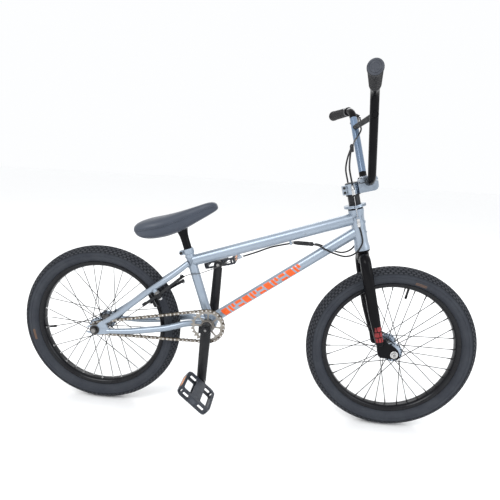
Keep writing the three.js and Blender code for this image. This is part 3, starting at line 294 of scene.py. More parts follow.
def place_mesh(name, mesh, body, nodes=(), sharp=38, bevel=0.0, levels=0):
    work = bmesh.new()
    work.from_mesh(mesh)
    bmesh.ops.remove_doubles(work, verts=work.verts, dist=WELD_DISTANCE)
    bmesh.ops.recalc_face_normals(work, faces=work.faces)
    work.to_mesh(mesh)
    work.free()
    mesh.shade_smooth()
    mesh.set_sharp_from_angle(angle=sharp * RAD)
    made = bpy.data.objects.new(name, mesh)
    bpy.context.scene.collection.objects.link(made)
    if bevel:
        rounded = made.modifiers.new("bevel", "BEVEL")
        rounded.width = bevel * MM
        rounded.segments = 2
        rounded.limit_method = "ANGLE"
        rounded.angle_limit = BEVEL_ANGLE * RAD
        rounded.harden_normals = True
    if levels:
        finer = made.modifiers.new("finer", "SUBSURF")
        finer.levels = finer.render_levels = levels
    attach(made, body)
    if nodes:
        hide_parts(*nodes)
    return made


# ------------------------------------------------------------------ Materials
def surface(name, colour, rough, metal=0.0, other=None, scale=60, share=0.5, fine=900, bump=0.05,
            rough_range=0.12, coat=0.0, specks=None, speck_share=0.08, grain=0.0,
            sheen=0.0, gloss=0.5):
    """A procedural finish: two tones clouded together, a fine grain in gloss and bump, and specks."""
    look = bpy.data.materials.new(name)
    look.use_nodes = True
    nodes, links = look.node_tree.nodes, look.node_tree.links
    shader = nodes["Principled BSDF"]
    shader.inputs["Metallic"].default_value = metal
    shader.inputs["Coat Weight"].default_value = coat
    shader.inputs["Coat Roughness"].default_value = 0.12
    shader.inputs["Sheen Weight"].default_value = sheen
    shader.inputs["Sheen Roughness"].default_value = 0.5
    shader.inputs["Specular IOR Level"].default_value = gloss
    where = nodes.new("ShaderNodeTexCoord")

    def cloud(size, detail=4.0, roughness=0.55):
        tex = nodes.new("ShaderNodeTexNoise")
        tex.inputs["Scale"].default_value = size
        tex.inputs["Detail"].default_value = detail
        tex.inputs["Roughness"].default_value = roughness
        links.new(where.outputs["Object"], tex.inputs["Vector"])
        return tex

    def ramp(source, low, high, a, b):
        made = nodes.new("ShaderNodeValToRGB")
        made.color_ramp.elements[0].position = low
        made.color_ramp.elements[0].color = a
        made.color_ramp.elements[1].position = high
        made.color_ramp.elements[1].color = b
        links.new(source, made.inputs["Fac"])
        return made

    def blended(a, b, fac=None, kind="MIX"):
        made = nodes.new("ShaderNodeMix")
        made.data_type = "RGBA"
        made.blend_type = kind
        made.inputs["Factor"].default_value = 1.0
        if fac:
            links.new(fac, made.inputs["Factor"])
        links.new(a, made.inputs["A"])
        if isinstance(b, tuple):
            made.inputs["B"].default_value = b
        else:
            links.new(b, made.inputs["B"])
        return made.outputs["Result"]

    full = (*colour, 1)
    second = (*(other or [c * 0.82 for c in colour]), 1)
    base = ramp(cloud(scale).outputs["Fac"], share - 0.14, share + 0.14, second, full).outputs["Color"]
    if grain:
        dots = ramp(cloud(fine * 0.6, 2).outputs["Fac"], 0.4, 0.62, (1 - grain,) * 3 + (1,), (1, 1, 1, 1))
        base = blended(base, dots.outputs["Color"], kind="MULTIPLY")
    if specks:
        edge = 0.5 + 0.5 * (0.5 - speck_share)
        marks = ramp(cloud(scale * 4.3, 6, 0.7).outputs["Fac"], edge, edge + 0.03, (0, 0, 0, 1), (1, 1, 1, 1))
        base = blended(base, (*specks, 1), marks.outputs["Color"])
    links.new(base, shader.inputs["Base Color"])
    low, high = max(rough - rough_range, 0.04), min(rough + rough_range, 1.0)
    gloss = ramp(cloud(scale * 2.1, 5).outputs["Fac"], 0.3, 0.7, (low,) * 3 + (1,), (high,) * 3 + (1,))
    links.new(gloss.outputs["Color"], shader.inputs["Roughness"])
    lift = nodes.new("ShaderNodeBump")
    lift.inputs["Strength"].default_value = bump
    lift.inputs["Distance"].default_value = 0.0004
    links.new(cloud(fine, 3).outputs["Fac"], lift.inputs["Height"])
    links.new(lift.outputs["Normal"], shader.inputs["Normal"])
    return look


PAINT = surface("frame_paint", (0.285, 0.338, 0.405), 0.35, 0.5, (0.25, 0.302, 0.37), 7, 0.45, bump=0.015,
                coat=0.35, rough_range=0.05)
WELD = surface("weld_paint", (0.265, 0.312, 0.375), 0.42, 0.45, (0.215, 0.255, 0.31), 120, bump=0.12,
               coat=0.2)
GLOSS = surface("gloss_black", (0.004, 0.004, 0.005), 0.2, 0.0, (0.006, 0.006, 0.007), 14, bump=0.02,
                coat=0.02, rough_range=0.06, gloss=0.07)
SATIN = surface("satin_black", (0.010, 0.010, 0.0105), 0.5, 0.0, (0.014, 0.014, 0.0145), 30, bump=0.1,
                gloss=0.04)
ANODISED = surface("black_alloy", (0.009, 0.0095, 0.011), 0.36, 0.3, (0.016, 0.0165, 0.019), 40,
                   bump=0.08, rough_range=0.1, specks=(0.10, 0.10, 0.11), speck_share=0.01, gloss=0.3)
# Pale blue-grey for one post of the black handlebar: a painted reflection, not a paint the bar has.
PAINTED_REFLECTION_BLUE = surface("painted_reflection_blue", (0.135, 0.20, 0.30), 0.25, 0.35, (0.10, 0.15, 0.23), 9, bump=0.02,
                    coat=0.3, rough_range=0.06)
RIM = surface("rim_alloy", (0.006, 0.006, 0.008), 0.26, 0.2, (0.010, 0.011, 0.013), 25, bump=0.03,
              coat=0.1, rough_range=0.08, gloss=0.18)
ALLOY = surface("satin_alloy", (0.35, 0.405, 0.475), 0.32, 1.0, (0.26, 0.305, 0.365), 50, bump=0.06,
                rough_range=0.08)
BRIGHT = surface("bright_steel", (0.62, 0.62, 0.62), 0.24, 1.0, (0.46, 0.46, 0.46), 90, bump=0.08)
STEEL = surface("plain_steel", (0.34, 0.335, 0.33), 0.36, 1.0, (0.21, 0.205, 0.20), 80, bump=0.12,
                specks=(0.12, 0.08, 0.06), speck_share=0.02)
DARK = surface("dark_steel", (0.030, 0.030, 0.032), 0.34, 0.75, (0.055, 0.052, 0.05), 70, bump=0.12,
               specks=(0.18, 0.17, 0.16), speck_share=0.015)
CHAIN = surface("chain_steel", (0.31, 0.28, 0.24), 0.38, 0.95, (0.17, 0.145, 0.12), 110, bump=0.18,
                specks=(0.10, 0.06, 0.04), speck_share=0.06)
CHAIN_INNER = surface("chain_inner", (0.13, 0.11, 0.09), 0.42, 0.9, (0.06, 0.05, 0.04), 130, bump=0.18)
SPROCKET = surface("sprocket_steel", (0.34, 0.32, 0.295), 0.40, 0.9, (0.25, 0.23, 0.205), 45,
                   bump=0.12, specks=(0.10, 0.075, 0.055), speck_share=0.03)
SPOKE = surface("spoke_steel", (0.006, 0.006, 0.008), 0.42, 0.1, (0.012, 0.012, 0.014), 60, bump=0.04,
                gloss=0.12)
TYRE = surface("tyre_rubber", (0.025, 0.029, 0.039), 0.66, 0.0, (0.033, 0.038, 0.048), 22, bump=0.3,
               fine=1500, rough_range=0.1, grain=0.2, gloss=0.3)
TREAD = surface("tread_rubber", (0.030, 0.033, 0.041), 0.72, 0.0, (0.042, 0.045, 0.053), 30, bump=0.35,
                fine=1300, rough_range=0.1, grain=0.25, specks=(0.10, 0.10, 0.10), speck_share=0.02,
                gloss=0.3)
# Darker rubber for the floors between the tread knobs: painted shade in the tread's recesses.
GROOVE_PAINTED_SHADE = surface("groove_painted_shade", (0.013, 0.0145, 0.018), 0.8, 0.0, (0.017, 0.019, 0.023), 40, bump=0.2,
                 gloss=0.15)
GRIP = surface("grip_rubber", (0.010, 0.010, 0.012), 0.62, 0.0, (0.016, 0.016, 0.018), 60, bump=0.3,
               fine=1400, grain=0.15, gloss=0.25)
GRIP_END = surface("grip_end_rubber", (0.040, 0.045, 0.058), 0.6, 0.0, (0.060, 0.066, 0.080), 90, bump=0.3,
                   fine=1400, gloss=0.35)
PEDAL = surface("pedal_plastic", (0.021, 0.025, 0.034), 0.46, 0.0, (0.032, 0.037, 0.048), 50,
                bump=0.3, fine=1300, specks=(0.09, 0.09, 0.095), speck_share=0.02, gloss=0.35)
SADDLE = surface("saddle_cover", (0.036, 0.045, 0.064), 0.44, 0.0, (0.044, 0.054, 0.075), 18,
                 bump=0.4, fine=1700, rough_range=0.07, sheen=0.1, gloss=0.35)
SADDLE_BASE = surface("saddle_base", (0.008, 0.008, 0.010), 0.5, 0.0, (0.014, 0.014, 0.016), 40, bump=0.4,
                      gloss=0.3)
PAD = surface("pad_rubber", (0.27, 0.275, 0.285), 0.7, 0.0, (0.2, 0.2, 0.21), 90, bump=0.3)
SLEEVE = surface("cable_sleeve", (0.007, 0.007, 0.009), 0.32, 0.0, (0.011, 0.011, 0.013), 60, bump=0.05,
                 gloss=0.3)
WIRE = surface("wire_steel", (0.50, 0.50, 0.50), 0.3, 1.0, (0.36, 0.36, 0.36), 400, bump=0.2)
AMBER = surface("amber_lens", (0.80, 0.27, 0.02), 0.22, 0.0, (0.62, 0.17, 0.01), 160, bump=0.5,
                fine=700, coat=0.4)
ORANGE = surface("orange_print", (0.80, 0.11, 0.012), 0.38, 0.0, (0.70, 0.09, 0.01), 120, bump=0.03,
                 coat=0.15, specks=(0.42, 0.475, 0.55), speck_share=0.02, gloss=0.3)
RED = surface("red_print", (0.25, 0.016, 0.019), 0.36, 0.0, (0.17, 0.011, 0.014), 120, bump=0.03,
              coat=0.1, specks=(0.02, 0.02, 0.02), speck_share=0.05, gloss=0.3)
SCUFF = surface("scuff", (0.30, 0.33, 0.37), 0.5, 0.4, (0.20, 0.22, 0.25), 260, bump=0.3)
RUST_PRINT = surface("faded_print", (0.115, 0.06, 0.035), 0.6, 0.0, (0.08, 0.045, 0.03), 300, bump=0.2)
FLOOR = surface("floor_paint", (0.985, 0.988, 0.99), 0.85, 0.0, (0.98, 0.983, 0.985), 1.2, bump=0.02,
                fine=40, rough_range=0.05, gloss=0.2)


# ------------------------------------------------------------------ Places
JOINTS = {j["name"]: j for j in frame["joints"]}


def joint_at(name):
    return Vector(JOINTS[name]["pos_m"]) / MM


def joint_axis(name):
    return Vector(JOINTS[name]["axis"]).normalized()


FRONT, REAR = joint_at("front_wheel_spin"), joint_at("rear_wheel_spin")
BB = joint_at("crank_spin")
STEER = joint_at("steer")
HEAD_UP = joint_axis("steer")
HEAD_AHEAD = vec(HEAD_UP.z, 0, -HEAD_UP.x)
Y = vec(0, 1, 0)
SEAT_UP = vec(-math.cos(71.5 * RAD), 0, math.sin(71.5 * RAD))
SEAT_BACK = vec(-SEAT_UP.z, 0, SEAT_UP.x)
WHEEL_RADIUS, SECTION = 257.0, 28.5
RIM_IN, RIM_HALF = 193.5, 17.5
SPOKE_R = 1.15
CHAIN_PITCH, BIG_TEETH, SMALL_TEETH = 12.7, 25, 9
BIG = CHAIN_PITCH / (2 * math.sin(math.pi / BIG_TEETH))
SMALL = CHAIN_PITCH / (2 * math.sin(math.pi / SMALL_TEETH))
CHAIN_LINE = 44.0


def on_head(ahead, y, up):
    return STEER + HEAD_AHEAD * ahead + vec(0, y, 0) + HEAD_UP * up


def on_seat(along, back=0.0, y=0.0):
    return BB + SEAT_UP * along + SEAT_BACK * back + vec(0, y, 0)


def about_y(centre):
    """Turns (x, z, y) into a point about a centre, for plates that stand in the X-Z plane."""
    return lambda u, v, depth: centre + vec(u, depth, v)


def circle(u, v, radius, sides=20):
    turns = [2 * math.pi * i / sides for i in range(sides)]
    return [(u + radius * math.cos(t), v + radius * math.sin(t)) for t in turns]


def mirrored(points, side):
    return [vec(p.x, p.y * side, p.z) for p in points]


# ------------------------------------------------------------------ Tyres
def tread_depth(around, angle):
    """How far below the tread's top the tyre is, at a share of one pitch and a section angle."""
    size = abs(angle)
    rows = [(0, 7.5, 0.0), (17.5, 6.6, 0.5), (33.5, 6.0, 0.0), (48.5, 5.6, 0.5), (62.0, 4.6, 0.0)]
    for centre, half, phase in rows:
        if abs(size - centre) <= half:
            shift = phase + (0.5 if angle < 0 and centre else 0.0)
            part = (around + shift) % 1.0
            return 0.0 if 0.14 <= part <= 0.86 else 1.3
    if size < 67.0:
        return 1.3
    ribs = [(72.0, 1.1), (90.0, 0.7), (112.0, 0.5)]
    return 1.7 - sum(h for a, h in ribs if abs(size - a) < 1.0)


def tyre_mesh():
    half_angles = [0.0, 7.4]
    for centre, half in ((17.5, 6.6), (33.5, 6.0), (48.5, 5.6), (62.0, 4.6)):
        half_angles += [centre - half - 0.9, centre - half + 0.1, centre + half - 0.1]
    half_angles += [67.5, 70.5, 71.3, 72.7, 73.5, 80, 88.6, 89.3, 90.7, 91.4, 98, 106, 111.2, 112.6, 118, 126]
    angles = [-a for a in reversed(half_angles)] + half_angles[1:]
    pitches = 104
    shares = [0.1, 0.18, 0.32, 0.4, 0.6, 0.68, 0.82, 0.9]
    crown = WHEEL_RADIUS - SECTION
    shape = Shape()
    rings = []
    bead = RIM_HALF - 2.6
    for p in range(pitches):
        for share in shares:
            turn = 2 * math.pi * (p + share) / pitches
            out = vec(math.cos(turn), 0, math.sin(turn))
            ring = [out * 201.5 + vec(0, -bead + 1, 0), out * 208.8 + vec(0, -bead, 0)]
            for angle in angles:
                r = SECTION - 0.15 - tread_depth(share, angle)
                ring.append(out * (crown + r * math.cos(angle * RAD)) + vec(0, r * math.sin(angle * RAD), 0))
            ring += [out * 208.8 + vec(0, bead, 0), out * 201.5 + vec(0, bead - 1, 0)]
            ring += [out * 210.0 + vec(0, 9, 0), out * 210.0 + vec(0, -9, 0)]
            rings.append(ring)
    shape.rings(rings, loop=True)
    row = len(angles) + 6
    # Faces down in the tread's grooves get look 2, the darker rubber: painted shade in the recesses; knob
    # tops get look 1.
    for r in range(len(rings)):
        ends = [tread_depth(shares[k % len(shares)], a) for k in (r, r + 1) for a in angles]
        for i in range(len(angles) - 1):
            if max(abs(angles[i]), abs(angles[i + 1])) < 67.6:
                corners = [ends[i], ends[i + 1], ends[len(angles) + i], ends[len(angles) + i + 1]]
                shape.looks[r * row + i + 2] = 2 if max(corners) > 1.0 else 1
    return shape


TYRE_SHAPE = tyre_mesh()


def side_mark(shape, start, sweep, low, high, side):
    """A thin raised strip on a tyre's side wall, between two section angles."""
    crown = WHEEL_RADIUS - SECTION
    rings = []
    for i in range(9):
        turn = (start + sweep * i / 8) * RAD
        out = vec(math.cos(turn), 0, math.sin(turn))
        ring = []
        for angle, lift in ((low, -1.7), (low, -1.2), (high, -1.2), (high, -1.7)):
            r = SECTION + lift
            outward = out * (crown + r * math.cos(angle * RAD))
            ring.append(outward + vec(0, side * r * math.sin(angle * RAD), 0))
        rings.append(ring)
    shape.rings(rings)


def make_wheel(name, centre, turn, valve, marks, barrel, flanges, ends, bore, hub_looks):
    """A tyre, a rim, a hub and its spokes. turn is the first spoke's angle and valve the valve's."""
    body = f"{name}_wheel"
    tyre = Shape()
    tyre.points = [p + centre for p in TYRE_SHAPE.points]
    tyre.faces, tyre.looks = list(TYRE_SHAPE.faces), list(TYRE_SHAPE.looks)
    piece(f"{name}_tyre_rubber", tyre, [TYRE, TREAD, GROOVE_PAINTED_SHADE], body, [f"{name}_tyre"], sharp=30)

    prints = Shape()
    for start, sweep, low, high in marks:
        side_mark(prints, start, sweep, low, high, -1)
        side_mark(prints, start + 180, sweep, low, high, 1)
    prints.points = [p + centre for p in prints.points]
    piece(f"{name}_tyre_marks", prints, RUST_PRINT, body)

    hoop = [(RIM_IN + 0.9, -10.2), (RIM_IN, -7), (RIM_IN - 0.4, 0), (RIM_IN, 7), (RIM_IN + 0.9, 10.2)]
    hoop += [(198.2, 15.8), (200.5, 16.9), (206.0, RIM_HALF), (207.6, RIM_HALF - 0.4),
             (207.9, RIM_HALF - 1.6)]
    hoop += [(206.0, RIM_HALF - 2.4), (200.6, RIM_HALF - 2.4), (199.5, 12), (199.0, 0), (199.5, -12)]
    hoop += [(200.6, -RIM_HALF + 2.4), (206.0, -RIM_HALF + 2.4), (207.9, 1.6 - RIM_HALF)]
    hoop += [(207.6, 0.4 - RIM_HALF), (206.0, -RIM_HALF), (200.5, -16.9), (198.2, -15.8)]
    rim = Shape().lathe(hoop, centre, Y, 144, loop=True)
    piece(f"{name}_rim_hoop", rim, RIM, body, [f"{name}_rim"], sharp=50)

    nipples = Shape()
    for side in (-1, 1):
        spokes = Shape()
        flange = flanges[0] if side < 0 else flanges[1]
        start_at = turn + (0 if side < 0 else 10)
        for i in range(9):
            for lead in (1, -1):
                start = 40 * i + (0 if lead > 0 else 20) + start_at
                a, b = start * RAD, (start + lead * 60) * RAD
                inner = side * (flange + (1.4 if lead > 0 else -3.6))
                head = centre + vec(26.5 * math.cos(a), inner, 26.5 * math.sin(a))
                tip = centre + vec(190.6 * math.cos(b), side * 4, 190.6 * math.sin(b))
                seat = centre + vec((RIM_IN - 0.2) * math.cos(b), side * 4, (RIM_IN - 0.2) * math.sin(b))
                other = head + vec(0, side * (-5.2 if lead > 0 else 5.2), 0)
                elbow = head + (tip - head).normalized() * 3
                spokes.tube([other, head, elbow, tip], [SPOKE_R, SPOKE_R, SPOKE_R, SPOKE_R - 0.05], 8)
                spokes.lathe([(2.0, 0), (2.0, 0.7), (1.3, 1.1)], other, other - head, 10)
                back = tip + (head - tip).normalized() * 11
                nipples.rod(seat, back, 2.0, 10, edge=0.4, end=1.6)
                nipples.lathe([(3.1, -0.4), (3.1, 0.5), (2.2, 0.9)], seat, centre - seat, 12)
        piece(f"{name}_spoke_set_{SIDES[side]}", spokes, SPOKE, body,
              [f"{name}_spokes_{SIDES[side]}"])
    piece(f"{name}_nipples", nipples, BRIGHT if name == "rear" else DARK, body)

    hub = Shape()
    right, left = flanges
    lip = barrel + 2.0
    profile = [(bore, -ends[0]), (10.2, -ends[0]), (11, -ends[0] + 0.8), (11, -right - 1.5)]
    profile += [(17, -right - 0.9), (18, -right - 0.2), (28.7, -right), (29.5, -right + 0.8)]
    profile += [(29.5, -right + 1.9), (28.7, -right + 2.6), (lip + 2, -right + 3.4),
                (barrel + 0.4, -right + 10)]
    profile += [(barrel, -right + 14), (barrel - 0.6, 0), (barrel, left - 14), (barrel + 0.4, left - 10)]
    profile += [(lip + 2, left - 3.4), (28.7, left - 2.6), (29.5, left - 1.9), (29.5, left - 0.8)]
    profile += [(28.7, left), (18, left + 0.2), (17, left + 0.9), (11, left + 1.5), (11, ends[1] - 0.8)]
    profile += [(10.2, ends[1]), (bore, ends[1])]
    hub.lathe(profile, centre, Y, HUB_SIDES, loop=True)
    for i, (a, b) in enumerate(zip(profile, profile[1:])):
        if max(a[0], b[0]) < lip + 1 and abs(a[1]) < 30:
            hub.recolour(i, HUB_SIDES, 1)
    for side, flange in ((-1, right), (1, left)):
        for i in range(18):
            t = (20 * i + turn + 10 * (side > 0)) * RAD
            at = centre + vec(26.5 * math.cos(t), side * (flange + 0.1), 26.5 * math.sin(t))
            hub.lathe([(2.2, -0.1), (2.2, 0.25), (1.5, 0.3)], at, vec(0, side, 0), 10, look=2)
    piece(f"{name}_hub_shell", hub, hub_looks, body, [f"{name}_hub"], sharp=40)

    t = valve * RAD
    out = vec(math.cos(t), 0, math.sin(t))
    stem = Shape()
    root = centre + out * (RIM_IN + 1)
    profile = [(4.2, 0), (4.2, 2.5), (3.6, 3.5), (3.4, 22), (2.7, 23)]
    stem.lathe(profile, root, -out, 20)
    cap = [(3.4, 0), (3.9, 0.6), (3.9, 8.4), (3.2, 10), (1.2, 11.2)]
    stem.lathe(cap, root - out * 23, -out, 12, look=1)
    piece(f"{name}_valve", stem, [SADDLE_BASE, GLOSS], body)


make_wheel("front", FRONT, 3.0, 79.5, [(69, 9, 104, 120)], 15.0, (38.0, 38.0),
           (43.5, 43.5), 5.5, [ALLOY, ANODISED, DARK])
make_wheel("rear", REAR, 9.0, 189.0, [(188, 9, 94, 108)], 21.0, (33.0, 38.0),
           (36.5, 48.0), 7.5, [ALLOY, ANODISED, DARK])


# ------------------------------------------------------------------ Main frame tubes
HEAD_LOW, HEAD_TOP = 319.0, 442.5
TOP_R, DOWN_R, SEAT_R, POST_R = 17.45, 15.9, 14.3, 12.7
top_rear, top_front = on_seat(203), on_head(0, 0, 416)
top_along = (top_front - top_rear).normalized()
top_under = vec(top_along.z, 0, -top_along.x)
down_low, down_high = BB + vec(0, 0, 3.5), on_head(0, 0, 379)
down_along = (down_high - down_low).normalized()


def top_point(x):
    return top_rear + top_along * ((x - top_rear.x) / top_along.x)


head = Shape()
profile = [(17.2, HEAD_LOW + 0.4), (22.1, HEAD_LOW), (22.6, HEAD_LOW + 0.6), (22.6, HEAD_LOW + 8)]
profile += [(22.2, HEAD_LOW + 10), (20.6, HEAD_LOW + 19), (20.2, HEAD_LOW + 24), (20.2, HEAD_TOP - 24)]
profile += [(20.6, HEAD_TOP - 19), (22.2, HEAD_TOP - 10), (22.6, HEAD_TOP - 8), (22.6, HEAD_TOP - 0.6)]
profile += [(22.1, HEAD_TOP), (17.2, HEAD_TOP - 0.4)]
head.lathe(profile, STEER, HEAD_UP, 64, loop=True)
piece("head_tube_shell", head, PAINT, "frame", ["head_tube"])

cable_at, cable_y, lug_up = -4.0, 39.0, 419.0
lugs = Shape()
for side in (-1, 1):
    outline = [(19.5, -5.5), (36, -4.2)]
    outline += [(cable_y + 5.6 * math.cos(t * RAD), 5.6 * math.sin(t * RAD)) for t in range(-80, 81, 16)]
    outline += [(36, 4.2), (19.5, 5.5)]
    hole = circle(cable_y, 0, 3.2, 14)
    place = lambda u, v, depth: on_head(cable_at + v, side * u, lug_up + depth)
    lugs.plate(outline, place, 0, 4, [hole])
piece("head_tube_lugs", lugs, PAINT, "frame", bevel=0.5)

top = Shape().tube([top_rear + top_along * 8, top_front - top_along * 14], TOP_R, 56)
under_stop = top_point(-30) + top_under * (TOP_R + 9)
under_guide = top_point(124) + top_under * (TOP_R + 7)
for end, half in ((under_stop, 6.0), (under_guide, 3.5)):
    top.rod(end - top_under * 11, end, 3.4, 16, edge=0.4)
    profile = [(3.3, -half), (4.6, -half), (5.0, -half + 0.5), (5.0, half - 0.5), (4.6, half), (3.3, half)]
    top.lathe(profile, end, top_along, 24, loop=True)
piece("top_tube_main", top, PAINT, "frame", ["top_tube"])

down = Shape().tube([down_low + down_along * 14, down_high - down_along * 12], DOWN_R, 52)
piece("down_tube_main", down, PAINT, "frame", ["down_tube"])

clamp_at = 235.5
clamp = on_seat(clamp_at, 22)
seat = Shape()
profile = [(POST_R + 0.3, 100), (SEAT_R, 100), (SEAT_R, 226.4), (16.6, 227.6), (17, 228.6), (17, 242.6)]
profile += [(16.4, 243.5), (POST_R + 0.3, 243.5)]
seat.lathe(profile, BB, SEAT_UP, 56, loop=True)
seat.tube([on_seat(20), on_seat(101)], SEAT_R, 56)
for side in (-1, 1):
    seat.block(on_seat(clamp_at, 19.5, side * 4.5), (SEAT_BACK, Y, SEAT_UP), (15, 6.4, 14.4))
    seat.lathe([(7.2, 7.7), (7.2, 8.6), (6.4, 9.2), (3.4, 9.2)], clamp, vec(0, side, 0), 24)
piece("seat_tube_main", seat, PAINT, "frame", ["seat_tube"], bevel=0.7)

bolt = Shape()
bolt.cap_screw(clamp + vec(0, -9.2, 0), vec(0, -1, 0), 4.6, 4.6)
bolt.rod(clamp + vec(0, -9, 0), clamp + vec(0, 9.6, 0), 2.9, 16)
bolt.hex(clamp + vec(0, 9.2, 0), Y, 5.0, 3.6)
piece("seat_clamp_bolt", bolt, DARK, "frame")

shell = Shape()
profile = [(20.9, -35), (22.4, -35), (23, -34.4), (23, 34.4), (22.4, 35), (20.9, 35), (20.9, 30), (20.9, -30)]
shell.lathe(profile, BB, Y, 64, loop=True)
piece("bb_shell_body", shell, PAINT, "frame", ["bb_shell"])
for side in (-1, 1):
    cup = Shape()
    profile = [(10.0, 26.5), (20.4, 26.5), (20.4, 35.4), (19.4, 35.6), (17.6, 35.2), (16.8, 34.8), (12, 34.8)]
    profile += [(11.2, 35.3), (10.0, 35.3)]
    cup.lathe(profile, BB, vec(0, side, 0), CUP_SIDES, loop=True)
    looks = [STEEL, SADDLE_BASE]
    for band in (5, 6):
        cup.recolour(band, CUP_SIDES, 1)
    piece(f"bb_cup_{SIDES[side]}", cup, looks, "frame", [f"bb_bearing_{SIDES[side]}"])

welds = Shape()
welds.weld(top_front - top_along * 40, top_along, TOP_R, STEER, HEAD_UP, 20.2)
welds.weld(down_high - down_along * 40, down_along, DOWN_R, STEER, HEAD_UP, 20.2)
welds.weld(top_rear + top_along * 40, -top_along, TOP_R, BB, SEAT_UP, SEAT_R)
welds.weld(down_low + down_along * 50, -down_along, DOWN_R, BB, Y, 23.0)
welds.weld(on_seat(50), -SEAT_UP, SEAT_R, BB, Y, 23.0)
for side in (-1, 1):
    root = on_head(cable_at, side * 19.8, lug_up)
    welds.tube([root + HEAD_AHEAD * 6, root + HEAD_AHEAD * 6 + HEAD_UP * 4.4,
                root - HEAD_AHEAD * 6 + HEAD_UP * 4.4,
                root - HEAD_AHEAD * 6], 1.3, 8, loop=True)
piece("frame_welds", welds, WELD, "frame", sharp=60)

# The rear triangle.
stay_angle = 38.3 * RAD
stay_up = vec(math.cos(stay_angle), 0, math.sin(stay_angle))
stay_ahead = vec(math.sin(stay_angle), 0, -math.cos(stay_angle))
brake_root = joint_at("brake_arm_left_close")
boss_y = brake_root.y
brake_root = vec(brake_root.x, 0, brake_root.z)


def on_brake(ahead, y, up):
    return brake_root + stay_ahead * ahead + stay_up * up + vec(0, y, 0)


chain_line_points = [(-118, 22, 291.5), (-150, 26, 292), (-178, 32, 290), (-206, 38.5, 283),
                     (-240, 42.5, 274)]
chain_line_points += [(-290, 46.5, 266), (-350, 52, 258), (-420, 57.6, 254.5)]
seat_line_points = [(-178, 13, 479.4), (-196, 21, 464), (-220, 31, 444), (-248, 39, 423), (-287, 43, 393.5)]
seat_line_points += [(-340, 50, 350), (-380, 55.5, 316), (-428, 58.6, 283)]
dropout = [(34, 26), (22, 30), (14, 24), (6, 15), (-10, 12.5), (-24, 10), (-27, 8.6), (-27, 7.4), (0, 7.6)]
dropout += [(4.4, 7.0), (7.2, 4.2), (8.4, 0), (7.2, -4.2), (4.4, -7.0), (0, -7.6), (-27, -7.4), (-27, -9)]
dropout += [(-24, -11.4), (-8, -15), (14, -15), (30, -12.4), (44, -11), (46, -2), (44, 6), (38, 15)]
for side in (-1, 1):
    name = SIDES[side]
    chain_stay = Shape()
    path = spline([vec(*p) for p in chain_line_points], 6)
    radii = [mix(10.0, 7.6, smooth_step((i / len(path) - 0.75) * 4)) for i in range(len(path))]
    chain_stay.tube(mirrored(path, side), radii, 28)
    chain_stay.plate(dropout, about_y(REAR), side * 55.2, side * 60.9)
    piece(f"chain_stay_tube_{name}", chain_stay, PAINT, "frame", [f"chain_stay_{name}"],
          bevel=0.6)
    seat_stay = Shape()
    path = spline([vec(*p) for p in seat_line_points], 6)
    radii = [mix(9.0, 7.0, smooth_step((i / len(path) - 0.8) * 5)) for i in range(len(path))]
    seat_stay.tube(mirrored(path, side), radii, 28)
    profile = [(7.0, 3), (7.0, 20.8), (6.4, 21.6), (4.4, 21.6)]
    seat_stay.lathe(profile, on_brake(0, side * boss_y, 0), stay_ahead, 32)
    piece(f"seat_stay_tube_{name}", seat_stay, PAINT, "frame", [f"seat_stay_{name}"])

stay_welds = Shape()
for side in (-1, 1):
    path = mirrored([vec(*p) for p in chain_line_points[:2]], side)
    stay_welds.weld(path[1], (path[0] - path[1]), 10.0, BB, Y, 23.0, 1.7)
    foot = on_brake(3.5, side * boss_y, 0)
    stay_welds.tube([foot + (stay_up * math.cos(t) + Y * math.sin(t)) * 7.2 for t in
                     [2 * math.pi * i / 40 for i in range(40)]], 1.5, 8, loop=True)
piece("stay_welds", stay_welds, WELD, "frame", sharp=60)

# Generic slanted blocks of print along the down tube, on both sides.
bars = Shape()
length = (down_high - down_low).length
across = Y.cross(down_along).normalized()
PRINT_FROM, PRINT_TO, CELLS = 0.10, 0.635, 11
cell = length * (PRINT_TO - PRINT_FROM) / CELLS
strokes = [[(0.0, 0.80, -44, 44)], [(0.0, 0.34, -44, 44), (0.46, 0.80, -44, 4)]]
strokes.append([(0.0, 0.80, 12, 44), (0.0, 0.80, -44, -12)])
for side in (-1, 1):
    for i in range(CELLS):
        start = length * PRINT_FROM + cell * i
        for near, far, low_turn, high_turn in strokes[i % 3]:
            rings = []
            for s in range(9):
                turn = mix(low_turn, high_turn, s / 8) * RAD
                lean = 5.0 * math.sin(turn)
                ring = []
                for lift, share in ((-0.3, near), (0.28, near + 0.01), (0.28, far - 0.01), (-0.3, far)):
                    r = DOWN_R + lift
                    at = down_low + down_along * (start + cell * share + lean)
                    ring.append(at + vec(0, side * r * math.cos(turn), 0) + across * r * math.sin(turn))
                rings.append(ring)
            bars.rings(rings)
piece("down_tube_print", bars, ORANGE, "frame", sharp=50)

# A few scuffs on the top tube.
scuffs = Shape()
scuff_marks = [(262, -78, 7, 3), (251, -66, 5, -2), (270, -62, 4, 2), (236, -84, 4, 1)]
scuff_marks += [(-60, -40, 4, 3), (170, -20, 5, -2), (90, -95, 4, 2)]
for i, (x, turn, size, lean) in enumerate(scuff_marks):
    centre = top_point(x)
    across_top = top_along.cross(Y).normalized() * -1
    ring_low, ring_high = [], []
    for k in range(14):
        t = 2 * math.pi * k / 14
        r = size * (0.75 + 0.35 * noise.noise(vec(i * 3.1, math.cos(t) * 1.7, math.sin(t) * 1.7)))
        a = turn * RAD + r * 0.45 * math.sin(t) / TOP_R
        out = -Y * math.cos(a) - across_top * math.sin(a)
        along = top_along * (r * math.cos(t) + lean * math.sin(t))
        ring_low.append(centre + along + out * (TOP_R - 0.3))
        ring_high.append(centre + along + out * (TOP_R + 0.12))
    scuffs.rings([ring_low, ring_high])
piece("paint_scuffs", scuffs, SCUFF, "frame")


